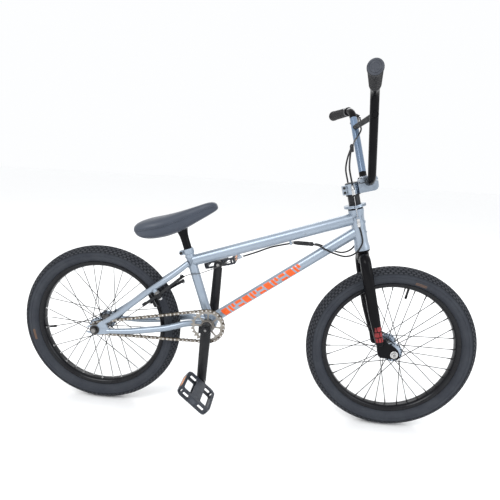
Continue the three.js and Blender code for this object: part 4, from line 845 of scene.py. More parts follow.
# ------------------------------------------------------------------ Saddle and post
post = Shape()
profile = [(POST_R - 1.5, 128), (POST_R, 128.5), (POST_R, 273), (13.4, 284), (14.6, 292), (16.6, 300),
           (18.4, 306)]
post.lathe(profile, BB, SEAT_UP, 48)
saddle_tilt = 21.8 * RAD
tail = vec(-345, 0, 576)
saddle_along = vec(math.cos(saddle_tilt), 0, math.sin(saddle_tilt))
saddle_up = vec(-math.sin(saddle_tilt), 0, math.cos(saddle_tilt))


def on_saddle(along, y, up):
    return tail + saddle_along * along + saddle_up * up + vec(0, y, 0)


stations = [(2, 30, 3, -12), (8, 52, 11, -24), (18, 62, 15.6, -34), (36, 68.5, 17.6, -43.5),
            (62, 70.5, 15.8, -49.5)]
stations += [(90, 67, 11.6, -53), (112, 58.5, 9.3, -53), (132, 49, 7.8, -51.5), (152, 40, 6.8, -48.5)]
stations += [(175, 32, 6.3, -43.5), (200, 26, 6, -38.5), (225, 22.4, 5.9, -33.5), (244, 19.6, 4.2, -29.5)]
stations += [(257, 15.5, 0, -26), (263, 9, -7.5, -21.5)]
rings = []
for along, half, top_side, under in stations:
    ring = []
    for k in range(28):
        t = 2 * math.pi * (k + 0.5) / 28
        c, s = math.cos(t), math.sin(t)
        y = half * math.copysign(abs(c) ** 0.66, c)
        middle = mix(top_side, under, 0.52)
        up = middle + (top_side - middle if s > 0 else middle - under) * math.copysign(abs(s) ** 0.8, s)
        if s > 0:
            groove = 1.6 * math.exp(-((y / 9.0) ** 2))
            up -= groove * smooth_step((along - 60) / 60) * smooth_step((250 - along) / 40)
        elif up < middle - 1:
            y *= 0.985
        ring.append(on_saddle(along, y, up))
    rings.append(ring)
cushion = Shape().rings(rings)
cover = piece("saddle_cushion", cushion, SADDLE, "frame", ["saddle"], sharp=80, levels=2)

piping = Shape()
edge = []
for index, direction in ((13, 1), (0, -1)):
    side_points = [rings[r][index] for r in range(len(rings))][::direction]
    edge += side_points[1:-1]
lower = [p - saddle_up * 0.6 for p in edge]
piping.tube(spline([*lower, lower[0]], 3)[:-1], 1.0, 8, loop=True)
piece("saddle_seam", piping, SADDLE, "frame", sharp=80)
piece("seat_post_tube", post, GLOSS, "frame", ["seat_post"])


# ------------------------------------------------------------------ Axles and their nuts
def threaded(shape, a, b, radius):
    """A screw thread between two points, as close rings."""
    """A threaded end: fine rings along a bar."""
    axis = (b - a).normalized()
    length = (b - a).length
    profile = []
    count = int(length / 1.25)
    for i in range(count):
        h = length * i / count
        profile += [(radius - 0.7, h), (radius, h + 0.45), (radius, h + 0.7)]
    profile.append((radius - 0.8, length))
    shape.lathe(profile, a, axis, 24)


def axle(name, nodes, centre, radius, cone, end, face, flange, hex_radius, height, body, looks):
    """An axle with its cones and its two flanged nuts, which bear on the frame or fork at face."""
    bar = Shape().rod(centre + vec(0, -face, 0), centre + vec(0, face, 0), radius, 24)
    for side in (-1, 1):
        out = vec(0, side, 0)
        threaded(bar, centre + out * face, centre + out * (end - 0.2), radius)
        low, high = cone
        bar.lathe([(radius, low - 1), (9.5, low), (10.4, low + 1), (10.4, high - 0.6), (9.8, high)], centre,
                  out, 32)
        nut = Shape()
        profile = [(flange - 0.4, 0.2), (flange, 0.6), (flange, 1.8), (flange - 0.8, 2.6),
                   (radius + 0.5, 2.6)]
        nut.lathe([(radius + 0.5, 0.2), *profile], centre + out * face, out, 40, loop=True)
        profile = [(radius + 0.4, 2.5), (hex_radius, 2.5), (hex_radius, height - 1.2),
                   (hex_radius - 1.3, height)]
        nut.lathe([*profile, (radius + 0.4, height)], centre + out * face, out, 6, loop=True)
        piece(f"{name}_nut_{SIDES[side]}_body", nut, looks[1], body,
              [f"{nodes}_nut_{SIDES[side]}"],
              bevel=0.4)
    piece(f"{name}_bar", bar, looks[0], body, [nodes])


axle("rear_axle", "rear_axle", REAR, 6.9, (50.2, 54.6), 73, 61.1, 15, 11, 10.4, "frame", (STEEL, DARK))
axle("front_axle", "front_axle", FRONT, 4.9, (44.4, 50.0), 67, 56.8, 11.5, 8.7, 8.4, "steering",
     (STEEL, BRIGHT))


# ------------------------------------------------------------------ Chain
def chain_path():
    """Points along the chain's pitch line, one for each pin."""
    lean = math.atan2(REAR.z - BB.z, REAR.x - BB.x)
    apart = math.hypot(REAR.x - BB.x, REAR.z - BB.z)
    spread = math.acos((BIG - SMALL) / apart)
    flat = math.sqrt(apart**2 - (BIG - SMALL) ** 2)
    runs = [BIG * (2 * math.pi - 2 * spread), flat, SMALL * 2 * spread, flat]
    total = sum(runs)
    count = 2 * round(total / 25.4)
    corners = [(BB, BIG, lean + spread), (REAR, SMALL, lean - spread)]

    def at(distance):
        s = distance % total
        if s < runs[0]:
            t = lean + spread + s / BIG
            return vec(BB.x + BIG * math.cos(t), 0, BB.z + BIG * math.sin(t))
        s -= runs[0]
        t = lean - spread
        normal = vec(math.cos(t), 0, math.sin(t))
        if s < flat:
            return (BB + normal * BIG).lerp(REAR + normal * SMALL, s / flat)
        s -= flat
        if s < runs[2]:
            t = lean - spread + s / SMALL
            return vec(REAR.x + SMALL * math.cos(t), 0, REAR.z + SMALL * math.sin(t))
        s -= runs[2]
        t = lean + spread
        normal = vec(math.cos(t), 0, math.sin(t))
        return (REAR + normal * SMALL).lerp(BB + normal * BIG, s / flat)

    return [at(total * i / count) for i in range(count)]


pins = chain_path()
links = Shape()
for i, a in enumerate(pins):
    b = pins[(i + 1) % len(pins)]
    along = (b - a).normalized()
    over = vec(-along.z, 0, along.x)
    span = (b - a).length
    outer = i % 2 == 0
    outline = []
    for k in range(-4, 5):
        t = k * 22.5 * RAD
        outline.append((span + 4.1 * math.cos(t), 4.1 * math.sin(t)))
    outline.append((span / 2, 3.0))
    for k in range(4, 13):
        t = k * 22.5 * RAD
        outline.append((4.1 * math.cos(t), 4.1 * math.sin(t)))
    outline.append((span / 2, -3.0))
    for side in (-1, 1):
        low = CHAIN_LINE + side * (3.3 if outer else 2.15)
        place = lambda u, v, depth: a + along * u + over * v + vec(0, -depth, 0)
        links.plate(outline, place, low - 0.5, low + 0.5, look=0 if outer else 1)
    if outer:
        links.rod(a + vec(0, -CHAIN_LINE - 4.3, 0), a + vec(0, -CHAIN_LINE + 4.3, 0), 2.1, 10, look=2)
        links.rod(b + vec(0, -CHAIN_LINE - 4.3, 0), b + vec(0, -CHAIN_LINE + 4.3, 0), 2.1, 10, look=2)
    links.rod(a + vec(0, -CHAIN_LINE - 1.6, 0), a + vec(0, -CHAIN_LINE + 1.6, 0), 3.6, 12, look=1)
piece("chain_links", links, [CHAIN, CHAIN_INNER, BRIGHT], "frame", ["chain"])


# ------------------------------------------------------------------ Driver, sprocket and cranks
def tooth_outline(teeth, pitch_radius):
    """The edge of a chain wheel, with one rounded tooth for each link."""
    outline = []
    root, tip = pitch_radius - 4.4, pitch_radius + 2.0
    for i in range(teeth):
        for share, r in ((0.0, root), (0.1, root + 0.2), (0.24, root + 2.0), (0.36, tip - 1.4), (0.45, tip),
                         (0.55, tip), (0.64, tip - 1.4), (0.76, root + 2.0), (0.9, root + 0.2)):
            t = 2 * math.pi * (i + share) / teeth
            outline.append((r * math.cos(t), r * math.sin(t)))
    return outline


driver = Shape()
driver.plate(tooth_outline(SMALL_TEETH, SMALL), about_y(REAR), -CHAIN_LINE - 1.4, -CHAIN_LINE + 1.4,
             [circle(0, 0, 8.2, 24)])
profile = [(7.7, -49.4), (12.4, -49.4), (13, -48.8), (13, -46.5), (12.2, -45.6), (12.2, -42.4), (13, -41.6)]
profile += [(13, -37.4), (12.4, -37.1), (7.7, -37.1)]
driver.lathe(profile, REAR, Y, 48, loop=True)
piece("driver_cog", driver, CHAIN, "driver", ["rear_driver"], bevel=0.3)

crank_turn = 2.9 * RAD
CRANK_DOWN = vec(-math.sin(crank_turn), 0, -math.cos(crank_turn))
CRANK_SIDE = vec(math.cos(crank_turn), 0, -math.sin(crank_turn))


def on_crank(side, down, y):
    """side is along the sprocket's own cross axis, down is along the right arm."""
    return BB + CRANK_SIDE * side + CRANK_DOWN * down + vec(0, y, 0)


def rounded_loop(points, radius, steps=4):
    """A closed outline with its corners rounded off."""
    out = []
    count = len(points)
    for i in range(count):
        p, a, b = Vector(points[i]), Vector(points[i - 1]), Vector(points[(i + 1) % count])
        reach = min(radius, (a - p).length * 0.45, (b - p).length * 0.45)
        start, end = p + (a - p).normalized() * reach, p + (b - p).normalized() * reach
        for s in range(steps + 1):
            t = s / steps
            q = start * (1 - t) ** 2 + p * 2 * t * (1 - t) + end * t * t
            out.append((q.x, q.y))
    return out


windows = []
for i in range(8):
    points = []
    for r, swing in ((21.0, -15.8), (39.5, -19.3), (41.8, -7), (41.8, 7), (39.5, 19.3), (21.0, 15.8)):
        t = (45 * i + 22.5 + swing) * RAD
        points.append((r * math.cos(t), r * math.sin(t)))
    windows.append(rounded_loop(points, 4.0))
sprocket = Shape()
place = lambda u, v, depth: on_crank(u, -v, depth)
sprocket.plate(tooth_outline(BIG_TEETH, BIG), place, -CHAIN_LINE - 1.4, -CHAIN_LINE + 1.4,
               [circle(0, 0, 9.9, 32), *windows])
profile = [(9.9, -49), (14.2, -49), (15, -48.2), (15, -46), (16.5, -45.5), (16.5, -42.4), (15, -41.5),
           (9.9, -41.5)]
sprocket.lathe(profile, BB, Y, 48, loop=True)
guide = on_crank(0, 27, -CHAIN_LINE - 1.4)
sprocket.lathe([(6.4, -0.2), (6.4, 0.5), (5.9, 0.9), (0, 0.9)], guide, -Y, 28)
sprocket.cap_screw(guide, -Y, 4.4, 3.4)
piece("sprocket_wheel", sprocket, SPROCKET, "cranks", ["sprocket"], bevel=0.3)

spindle = Shape()
profile = [(9.3, -80), (9.3, -53.6), (9.45, -41), (13.1, -41), (13.4, -40.6), (13.4, -36.4), (13.1, -36)]
profile += [(9.4, -36), (9.4, 36), (13.1, 36), (13.4, 36.4), (13.4, 52.6), (13.1, 53), (9.3, 53), (9.3, 80)]
spindle.lathe(profile, BB, Y, 40)
for side in (-1, 1):
    head_profile = [(10.8, 80.2), (10.8, 82.2), (9.6, 83.9), (8.4, 84.4), (4.9, 84.4), (4.6, 80.6), (0, 80.6)]
    spindle.lathe(head_profile, BB, vec(0, side, 0), 40, look=1)
    spindle.lathe([(4.4, 80.7), (4.4, 82.2), (3.8, 82.6), (0, 82.6)], BB, vec(0, side, 0), 24, look=2)
piece("crank_spindle_bar", spindle, [DARK, ANODISED, STEEL], "cranks", ["crank_spindle"])

for side in (-1, 1):
    name = SIDES[side]
    down = -side
    arm = Shape()
    path = spline([on_crank(0, down * 12, side * 66), on_crank(0, down * 85, side * 69),
                   on_crank(0, down * 160, side * 71)], 12)
    radii = [mix(13.3, 11.9, i / (len(path) - 1)) for i in range(len(path))]
    arm.tube(path, radii, 36, squash=(CRANK_SIDE, 1.22))
    profile = [(9.9, 53.6), (16.2, 53.6), (17, 54.4), (17, 60), (16.6, 74), (16.1, 79.2), (15.4, 80),
               (11.2, 80)]
    arm.lathe([*profile, (11.2, 79), (9.9, 79)], BB, vec(0, side, 0), 48, loop=True)
    end = on_crank(0, down * 170, 0)
    profile = [(5.4, 59), (12.8, 59), (13.5, 59.8), (13.5, 81.2), (12.8, 82), (7, 82), (5.4, 81)]
    arm.lathe(profile, end, vec(0, side, 0), 40, loop=True)
    arm.weld(on_crank(0, down * 60, side * 67.5), CRANK_DOWN * -down, 13.0, BB, Y, 16.8, 1.6)
    arm.weld(on_crank(0, down * 110, side * 70), CRANK_DOWN * down, 12.2, end, Y, 13.3, 1.4)
    pinch = on_crank(-18.5 * down, down * 3, side * 66)
    arm.rod(pinch - CRANK_DOWN * 9, pinch + CRANK_DOWN * 9, 4.6, 20, edge=0.8)
    arm.cap_screw(pinch + CRANK_DOWN * 9, CRANK_DOWN, 3.6, 3.0, look=1)
    profile = [(5.0, 60), (5.0, 81), (8.4, 82.6), (8.4, 85.0), (7.6, 85.4), (5.6, 85.4), (5.4, 100),
               (4.2, 168), (3.6, 170)]
    arm.lathe(profile, end, vec(0, side, 0), 32, look=2)
    piece(f"crank_arm_tube_{name}", arm, [ANODISED, DARK, STEEL], "cranks",
          [f"crank_arm_{name}"])


# ------------------------------------------------------------------ Pedals
def rounded_box(low, high, corner):
    points = [(low[0], low[1]), (high[0], low[1]), (high[0], high[1]), (low[0], high[1])]
    return rounded_loop(points, corner)


PEDAL_TILT = {-1: 40.0, 1: -14.0}
for side in (-1, 1):
    name = SIDES[side]
    end = on_crank(0, -side * 170, 0)
    tilt = PEDAL_TILT[side] * RAD
    ahead = vec(math.cos(tilt), 0, -math.sin(tilt))
    over = vec(math.sin(tilt), 0, math.cos(tilt))
    place = lambda u, v, depth: end + ahead * u + vec(0, side * v, 0) + over * depth
    body = Shape()
    outline = [(-52.6, 97), (-52.6, 180), (-43, 189.6), (43, 189.6), (52.6, 180), (52.6, 97), (43, 86.5),
               (-43, 86.5)]
    outline = rounded_loop(outline, 7)
    windows = [rounded_box((low, 97), (low + 29.5, 179), 6) for low in (15.5, -45)]
    axes = (ahead, Y, over)
    for low, high in ((-11.4, -6.4), (6.4, 11.4)):
        body.plate(outline, place, low, high, windows)
    end_wall = rounded_box((-44, -10.8), (44, 10.8), 4)
    openings = [rounded_box((low, -5.6), (low + 22, 5.6), 3) for low in (16, -38)]
    upright = lambda u, v, depth: place(u, depth, v)
    for low, high in ((87.5, 94), (182, 188.9)):
        body.plate(end_wall, upright, low, high, openings)
    for u in (-49, 49):
        body.block(place(u, 138, 0), axes, (6.4, 84, 13.4))
    body.rod(place(0, 86.6, 0), place(0, 188.5, 0), 11.6, 32, edge=1.5)
    body.lathe([(11.0, 0), (8.0, 0.6), (7.2, 1.0), (0, 1.0)], place(0, 188.4, 0), vec(0, side, 0), 32, look=2)
    pins = [(u, v) for u in (-49.2, 49.2) for v in (98, 116, 137.5, 159, 178)]
    pins += [(u, v) for u in (-30, 30) for v in (91.0, 185.4)]
    for u, v in pins:
        for d in (-1, 1):
            body.rod(place(u, v, d * 11), place(u, v, d * 13), 1.9, 12, edge=0.5)
    piece(f"pedal_body_{name}", body, [PEDAL, SADDLE_BASE, GRIP_END], f"pedal_{name[0]}",
          [f"pedal_{name}"], bevel=0.8)
    lens = Shape()
    for u in (-52.2, 52.2):
        face = math.copysign(1, u)
        lens.block(place(u - face * 0.1, 138, 0), (ahead, Y, over), (1.2, 46, 13.2))
        for k in range(9):
            lens.block(place(u + face * 0.45, 119 + k * 4.75, 0), (ahead, Y, over), (0.5, 2.6, 11))
    piece(f"pedal_reflectors_{name}", lens, AMBER, f"pedal_{name[0]}", bevel=0.25)


# ------------------------------------------------------------------ Fork
fork = Shape()
profile = [(12.6, 281), (16.2, 280.4), (17, 281.2), (17, 309), (17.6, 311), (20.6, 314.4), (21.5, 315.4)]
profile += [(21.5, 318.2), (21.0, 318.7), (14.2, 318.7), (14.2, 512), (12.6, 512)]
fork.lathe(profile, STEER, HEAD_UP, 56, loop=True)
piece("fork_steerer_tube", fork, [GLOSS], "steering", ["fork_steerer"])

leg_points = [(-1, 17.6, 297.0), (-2, 31, 296), (-3.4, 43.5, 285.5), (-4.6, 48.6, 262), (-5, 50.6, 235),
              (-6, 55, 130), (-3, 56.6, 40)]
leg_radii = [14.6, 15.8, 16.0, 16.0, 16.0, 15.6, 11.6]
fork_end = [(-13, 50), (-14, 20), (-14, 4), (-9, -3), (6, -8), (26, -14), (36, -16.6), (42, -16.4),
            (46.4, -12)]
fork_end += [(47.4, -6), (47.4, 2), (46, 10), (40, 20), (32, 27), (24, 34), (18, 43), (14, 52)]
for side in (-1, 1):
    name = SIDES[side]
    leg = Shape()
    knots = [on_head(u, side * y, s) for u, y, s in leg_points]
    path = spline(knots, 8)
    radii = []
    for i in range(len(path)):
        at = i / 8
        k = min(int(at), len(leg_radii) - 2)
        radii.append(mix(leg_radii[k], leg_radii[k + 1], at - k))
    leg.tube(path, radii, 36)
    leg.lathe([(11.6, 0), (10.2, 3.4), (7.4, 5.8), (0.5, 6.8)], path[-1], (path[-1] - path[-2]), 36)
    place = lambda u, v, depth: on_head(u, side * depth, v)
    leg.plate(fork_end, place, 50.5, 56.5, [circle(32, 0, 5.4, 24)])
    leg.weld(on_head(-1, side * 40, 297), vec(0, -side, 0), 15.0, STEER, HEAD_UP, 17.0, 1.6)
    piece(f"fork_leg_tube_{name}", leg, GLOSS, "steering", [f"fork_leg_{name}"], bevel=0.5)

patches = Shape()
rows = [(84, 98, ((-58, -14), (-4, 56))), (67, 81, ((-58, 8), (18, 56)))]
rows.append((50, 64, ((-58, -22), (-12, 18), (28, 56))))
for side in (-1, 1):
    for low, high, cells in rows:
        for start, stop in cells:
            rings = []
            for s in range(7):
                turn = mix(start, stop, s / 6) * RAD
                ring = []
                for up, lift in ((low, -0.4), (low, 0.3), (high, 0.3), (high, -0.4)):
                    share = (130 - up) / 90
                    r = mix(15.6, 11.6, share) + lift
                    u, y = mix(-6, -3, share), mix(55, 56.6, share)
                    ring.append(on_head(u + r * math.sin(turn), side * (y + r * math.cos(turn)), up))
                rings.append(ring)
            patches.rings(rings)
piece("fork_print", patches, RED, "steering", sharp=50)


# ------------------------------------------------------------------ Headset, rotor and stem
headset = Shape()
profile = [(14.5, 442.9), (21.0, 442.9), (21.5, 443.4), (21.3, 444.4), (19.9, 445.3), (17.2, 446.6),
           (17.2, 464)]
profile += [(16.9, 464.3), (16.9, 464.7), (17.2, 465), (17.2, 482.4), (16.8, 482.8), (14.5, 482.8)]
headset.lathe(profile, STEER, HEAD_UP, 56, loop=True)
piece("headset_cone", headset, ANODISED, "steering", ["headset_spacer"])
for low, name in ((319.5, "lower"), (435.0, "upper")):
    ring = Shape()
    profile = [(14.8, low), (20.2, low), (20.5, low + 0.3), (20.5, low + 6.7), (20.2, low + 7),
               (14.8, low + 7)]
    ring.lathe(profile, STEER, HEAD_UP, 48, loop=True)
    piece(f"headset_ring_{name}", ring, STEEL, "frame", [f"headset_bearing_{name}"])


def tabbed_plate(shape, inner, outer, reach, low, high, half=5.6, bore=2.3):
    """A ring with a tab on each side, bored for a cable, standing on the head's axis."""
    join = math.asin(half / outer) / RAD
    edge = []
    for side in (1, -1):
        base = 90 * side % 360
        for t in range(9):
            turn = (base - 90 + 22.5 * t) * RAD
            edge.append((half * math.cos(turn), reach * side + half * math.sin(turn)))
        for t in range(15):
            turn = mix(base + join, base + 180 - join, t / 14) * RAD
            edge.append((outer * math.cos(turn), outer * math.sin(turn)))
    outline = [(u + cable_at * min(1, abs(v) / reach), v) for u, v in edge]
    holes = [circle(0, 0, inner, 40), circle(cable_at, reach, bore, 14), circle(cable_at, -reach, bore, 14)]
    shape.plate(outline, on_head, low, high, holes)


for name, body, low, high in (("lower", "rotor_low", 448.1, 451.9), ("upper", "rotor_up", 452.4, 455.9)):
    rotor = Shape()
    tabbed_plate(rotor, 17.9, 31.8, cable_y - 0.6, low, high, half=4.9)
    piece(f"rotor_plate_{name}", rotor, ALLOY, body, [f"rotor_{name}"], bevel=0.5)
top_plate = Shape()
tabbed_plate(top_plate, 14.6, 21.0, cable_y, 483.4, 486.2, half=5.6, bore=3.2)
piece("rotor_top_bracket", top_plate, ANODISED, "steering", ["rotor_top_plate"], bevel=0.5)

bar_at = on_head(46, 0, 514.5)
BAR_R = 11.1


def stem_place(u, v, depth):
    return on_head(u, depth, v)


stem = Shape()
profile = [(14.6, 486.8), (18.8, 486.8), (19.5, 487.5), (19.5, 517.2), (18.8, 518), (14.6, 518)]
stem.lathe(profile, STEER, HEAD_UP, 56, loop=True)
saddle_arc = [(46 - 11.7 * math.cos(t * RAD), 514.5 - 11.7 * math.sin(t * RAD)) for t in range(6, 175, 12)]
outline = [(15, 487), (60, 487), (66, 490), (70, 496), (71, 513.2), *reversed(saddle_arc), (15, 513.2)]
stem.plate(outline, stem_place, -25, 25)
for side in (-1, 1):
    stem.block(on_head(-21.5, side * 5.8, 502), (HEAD_AHEAD, Y, HEAD_UP), (14.5, 8.6, 26.5))
    for up in (495.5, 509):
        stem.cap_screw(on_head(-23.5, side * 10.0, up), vec(0, side, 0), 4.0, 0.9, look=1)
piece("stem_block", stem, [ALLOY, DARK], "steering", ["stem_body"], bevel=0.9)

lid = Shape()
arc = [(46 + 11.7 * math.cos(t * RAD), 514.5 + 11.7 * math.sin(t * RAD)) for t in range(4, 177, 12)]
outline = [(71, 515.2), (70, 523), (66, 528), (60, 530.4), (33, 530.4), (27, 528), (22, 524), (20, 515.2),
           *reversed(arc)]
lid.plate(outline, stem_place, -25, 25)
piece("stem_cap_block", lid, ALLOY, "steering", ["stem_lid"], bevel=0.9)

bolts = Shape()
for u in (27.6, 64.6):
    for y in (-18.5, 18.5):
        bolts.cap_screw(on_head(u, y, 525.5 if u < 40 else 526.8), HEAD_UP, 4.6, 3.4)
cap = Shape()
profile = [(19.0, 518.1), (19.0, 519.2), (18.2, 520.4), (12, 521.6), (6.4, 521.8), (5.6, 520.2), (0, 520.2)]
cap.lathe(profile, STEER, HEAD_UP, 48)
piece("stem_bolts", bolts, DARK, "steering")
piece("stem_top_cap", cap, ANODISED, "steering")


# ------------------------------------------------------------------ Handlebar, grips and lever
tilt = 4.8 * RAD
bar_top = on_head(46 + 221 * math.sin(tilt), 0, 514.5 + 221 * math.cos(tilt))
foot = bar_at + vec(0, 58, 0)
bend = bar_top + vec(0, 172.5, 0)
grip_along = vec(-math.sin(11.8 * RAD), math.cos(11.8 * RAD), math.tan(1.7 * RAD)).normalized()


def on_grip(y, side=1):
    p = bend + grip_along * ((y - bend.y) / grip_along.y)
    return vec(p.x, p.y * side, p.z)


corners = [on_grip(358, -1), vec(bend.x, -bend.y, bend.z), vec(foot.x, -foot.y, foot.z), foot, bend,
           on_grip(358)]
bar_path = bent_line(corners, [29, 28, 28, 29], 12)
bar = Shape().tube(bar_path, BAR_R, BAR_SIDES)
cross = foot.lerp(bend, 166 / 221)
bar.tube([vec(cross.x, -cross.y + 8, cross.z), vec(cross.x, cross.y - 8, cross.z)], 8.0, 32, look=2)
for side in (-1, 1):
    a = vec(foot.x, foot.y * side, foot.z)
    leg_dir = vec(bend.x, bend.y * side, bend.z) - a
    bar.weld(vec(cross.x, side * 60, cross.z), vec(0, side, 0), 8.0, a, leg_dir, BAR_R, 1.7)
# The straight left post of the black bar gets the pale blue-grey look: a painted reflection; the right post
# stays black.
for i, (a, b) in enumerate(zip(bar_path, bar_path[1:])):
    if a.y > 0 and b.z - a.z > 100:
        bar.recolour(i, BAR_SIDES, 1)
piece("handlebar_tube", bar, [GLOSS, PAINTED_REFLECTION_BLUE, SATIN], "steering", ["handlebar"], sharp=60)
knurl = Shape()
for k in range(-4, 5):
    at = bar_at + vec(0, k * 6, 0)
    knurl.lathe([(BAR_R, -1.6), (BAR_R + 0.25, -1.2), (BAR_R + 0.25, 1.2), (BAR_R, 1.6)], at, Y, 40)
piece("handlebar_knurl", knurl, GLOSS, "steering")

for side in (-1, 1):
    a, b = on_grip(215, side), on_grip(361, side)
    span = (b - a).length
    profile = [(11.3, 0.3), (12.9, 0.3), (13.5, 1.0), (13.6, 4.0)]
    count = 26
    for i in range(count):
        h = 6 + (span - 22) * i / count
        step = (span - 22) / count
        r = mix(13.9, 16.1, h / span)
        rib = [(-0.9, 0), (0, 0.25), (0.15, 0.5), (0, 0.75), (-0.9, 0.95)]
        profile += [(r + rise, h + step * share) for rise, share in rib]
    profile += [(15.4, span - 15), (16.6, span - 13), (16.9, span - 10), (16.9, span - 4), (16.3, span - 1.4)]
    profile += [(14.8, span - 0.1), (12.6, span - 0.1), (12.2, span - 0.7), (11.4, span - 0.7),
                (11.0, span - 0.1)]
    profile += [(8.0, span - 0.1), (7.6, span - 0.8), (0, span - 0.8)]
    grip = Shape().lathe(profile, a, b - a, GRIP_SIDES)
    for i, (near, far) in enumerate(zip(profile, profile[1:])):
        if min(near[1], far[1]) > span - 1.5:
            grip.recolour(i, GRIP_SIDES, 1)
    grip.looks[-1] = 1
    for k in range(12):
        t = 2 * math.pi * k / 12
        u, w = side_axes(b - a)
        at = b + (u * math.cos(t) + w * math.sin(t)) * 13.6 - (b - a).normalized() * 0.2
        grip.lathe([(1.1, -0.3), (1.1, 0.15), (0.7, 0.25)], at, b - a, 8, look=1)
    piece(f"grip_sleeve_{SIDES[side]}", grip, [GRIP, GRIP_END], "steering",
          [f"grip_{SIDES[side]}"], sharp=50)

pivot = joint_at("brake_lever_squeeze")
turn_axis = -joint_axis("brake_lever_squeeze")
drop = (HEAD_AHEAD * 0.75 - HEAD_UP * 0.66).normalized()
bracket = Shape()
a = on_grip(203.7)
profile = [(BAR_R + 0.35, 0), (13.9, 0), (14.4, 0.6), (14.4, 9.9), (13.9, 10.5), (BAR_R + 0.35, 10.5)]
bracket.lathe(profile, a, grip_along, 44, loop=True)
neck_path = spline([on_grip(209) + drop * 12.5, on_grip(206) + drop * 20, pivot - drop * 6.5], 6)
bracket.tube(neck_path, [6.6 if i < 8 else 6.2 for i in range(len(neck_path))], 20)
arm_path = spline([on_grip(208) + drop * 13, on_grip(200) + drop * 16, on_grip(192) + drop * 35], 6)
bracket.tube(arm_path, [mix(6.4, 5.2, i / (len(arm_path) - 1)) for i in range(len(arm_path))], 20)
for end in (-1, 1):
    bracket.rod(pivot + turn_axis * end * 3.6, pivot + turn_axis * end * 5.9, 6.8, 28, edge=0.5)
    bracket.block(pivot + turn_axis * end * 4.75 - drop * 5, (drop, turn_axis.cross(drop), turn_axis),
                  (10, 11, 2.2))
bracket.cap_screw(pivot + turn_axis * 5.7, turn_axis, 3.4, 1.6, look=1)
bracket.cap_screw(on_grip(209) - drop * 14 + HEAD_UP * 2, -drop, 3.0, 2.2, look=1)
piece("lever_bracket_body", bracket, [ANODISED, BRIGHT], "steering", ["brake_lever_bracket"],
      bevel=0.4)

blade = Shape()
line = [pivot, on_grip(228) + drop * 46, on_grip(256) + drop * 56, on_grip(290) + drop * 54,
        on_grip(315.5) + drop * 57.6]
path = spline(line, 10)
radii = []
for i in range(len(path)):
    t = i / (len(path) - 1)
    radii.append(mix(5.2, 4.4, smooth_step(t * 3)) if t < 0.85 else mix(4.4, 5.0, (t - 0.85) / 0.15))
blade.tube(path, radii, 20, squash=(turn_axis, 0.8))
blade.lathe([(5.0, 0), (4.4, 1.6), (2.8, 3.0), (0.5, 3.6)], path[-1], path[-1] - path[-2], 20)
blade.rod(pivot - turn_axis * 3.1, pivot + turn_axis * 3.1, 6.3, 28, edge=0.4)
piece("brake_lever_blade", blade, [ANODISED], "lever", ["brake_lever"], bevel=0.3)


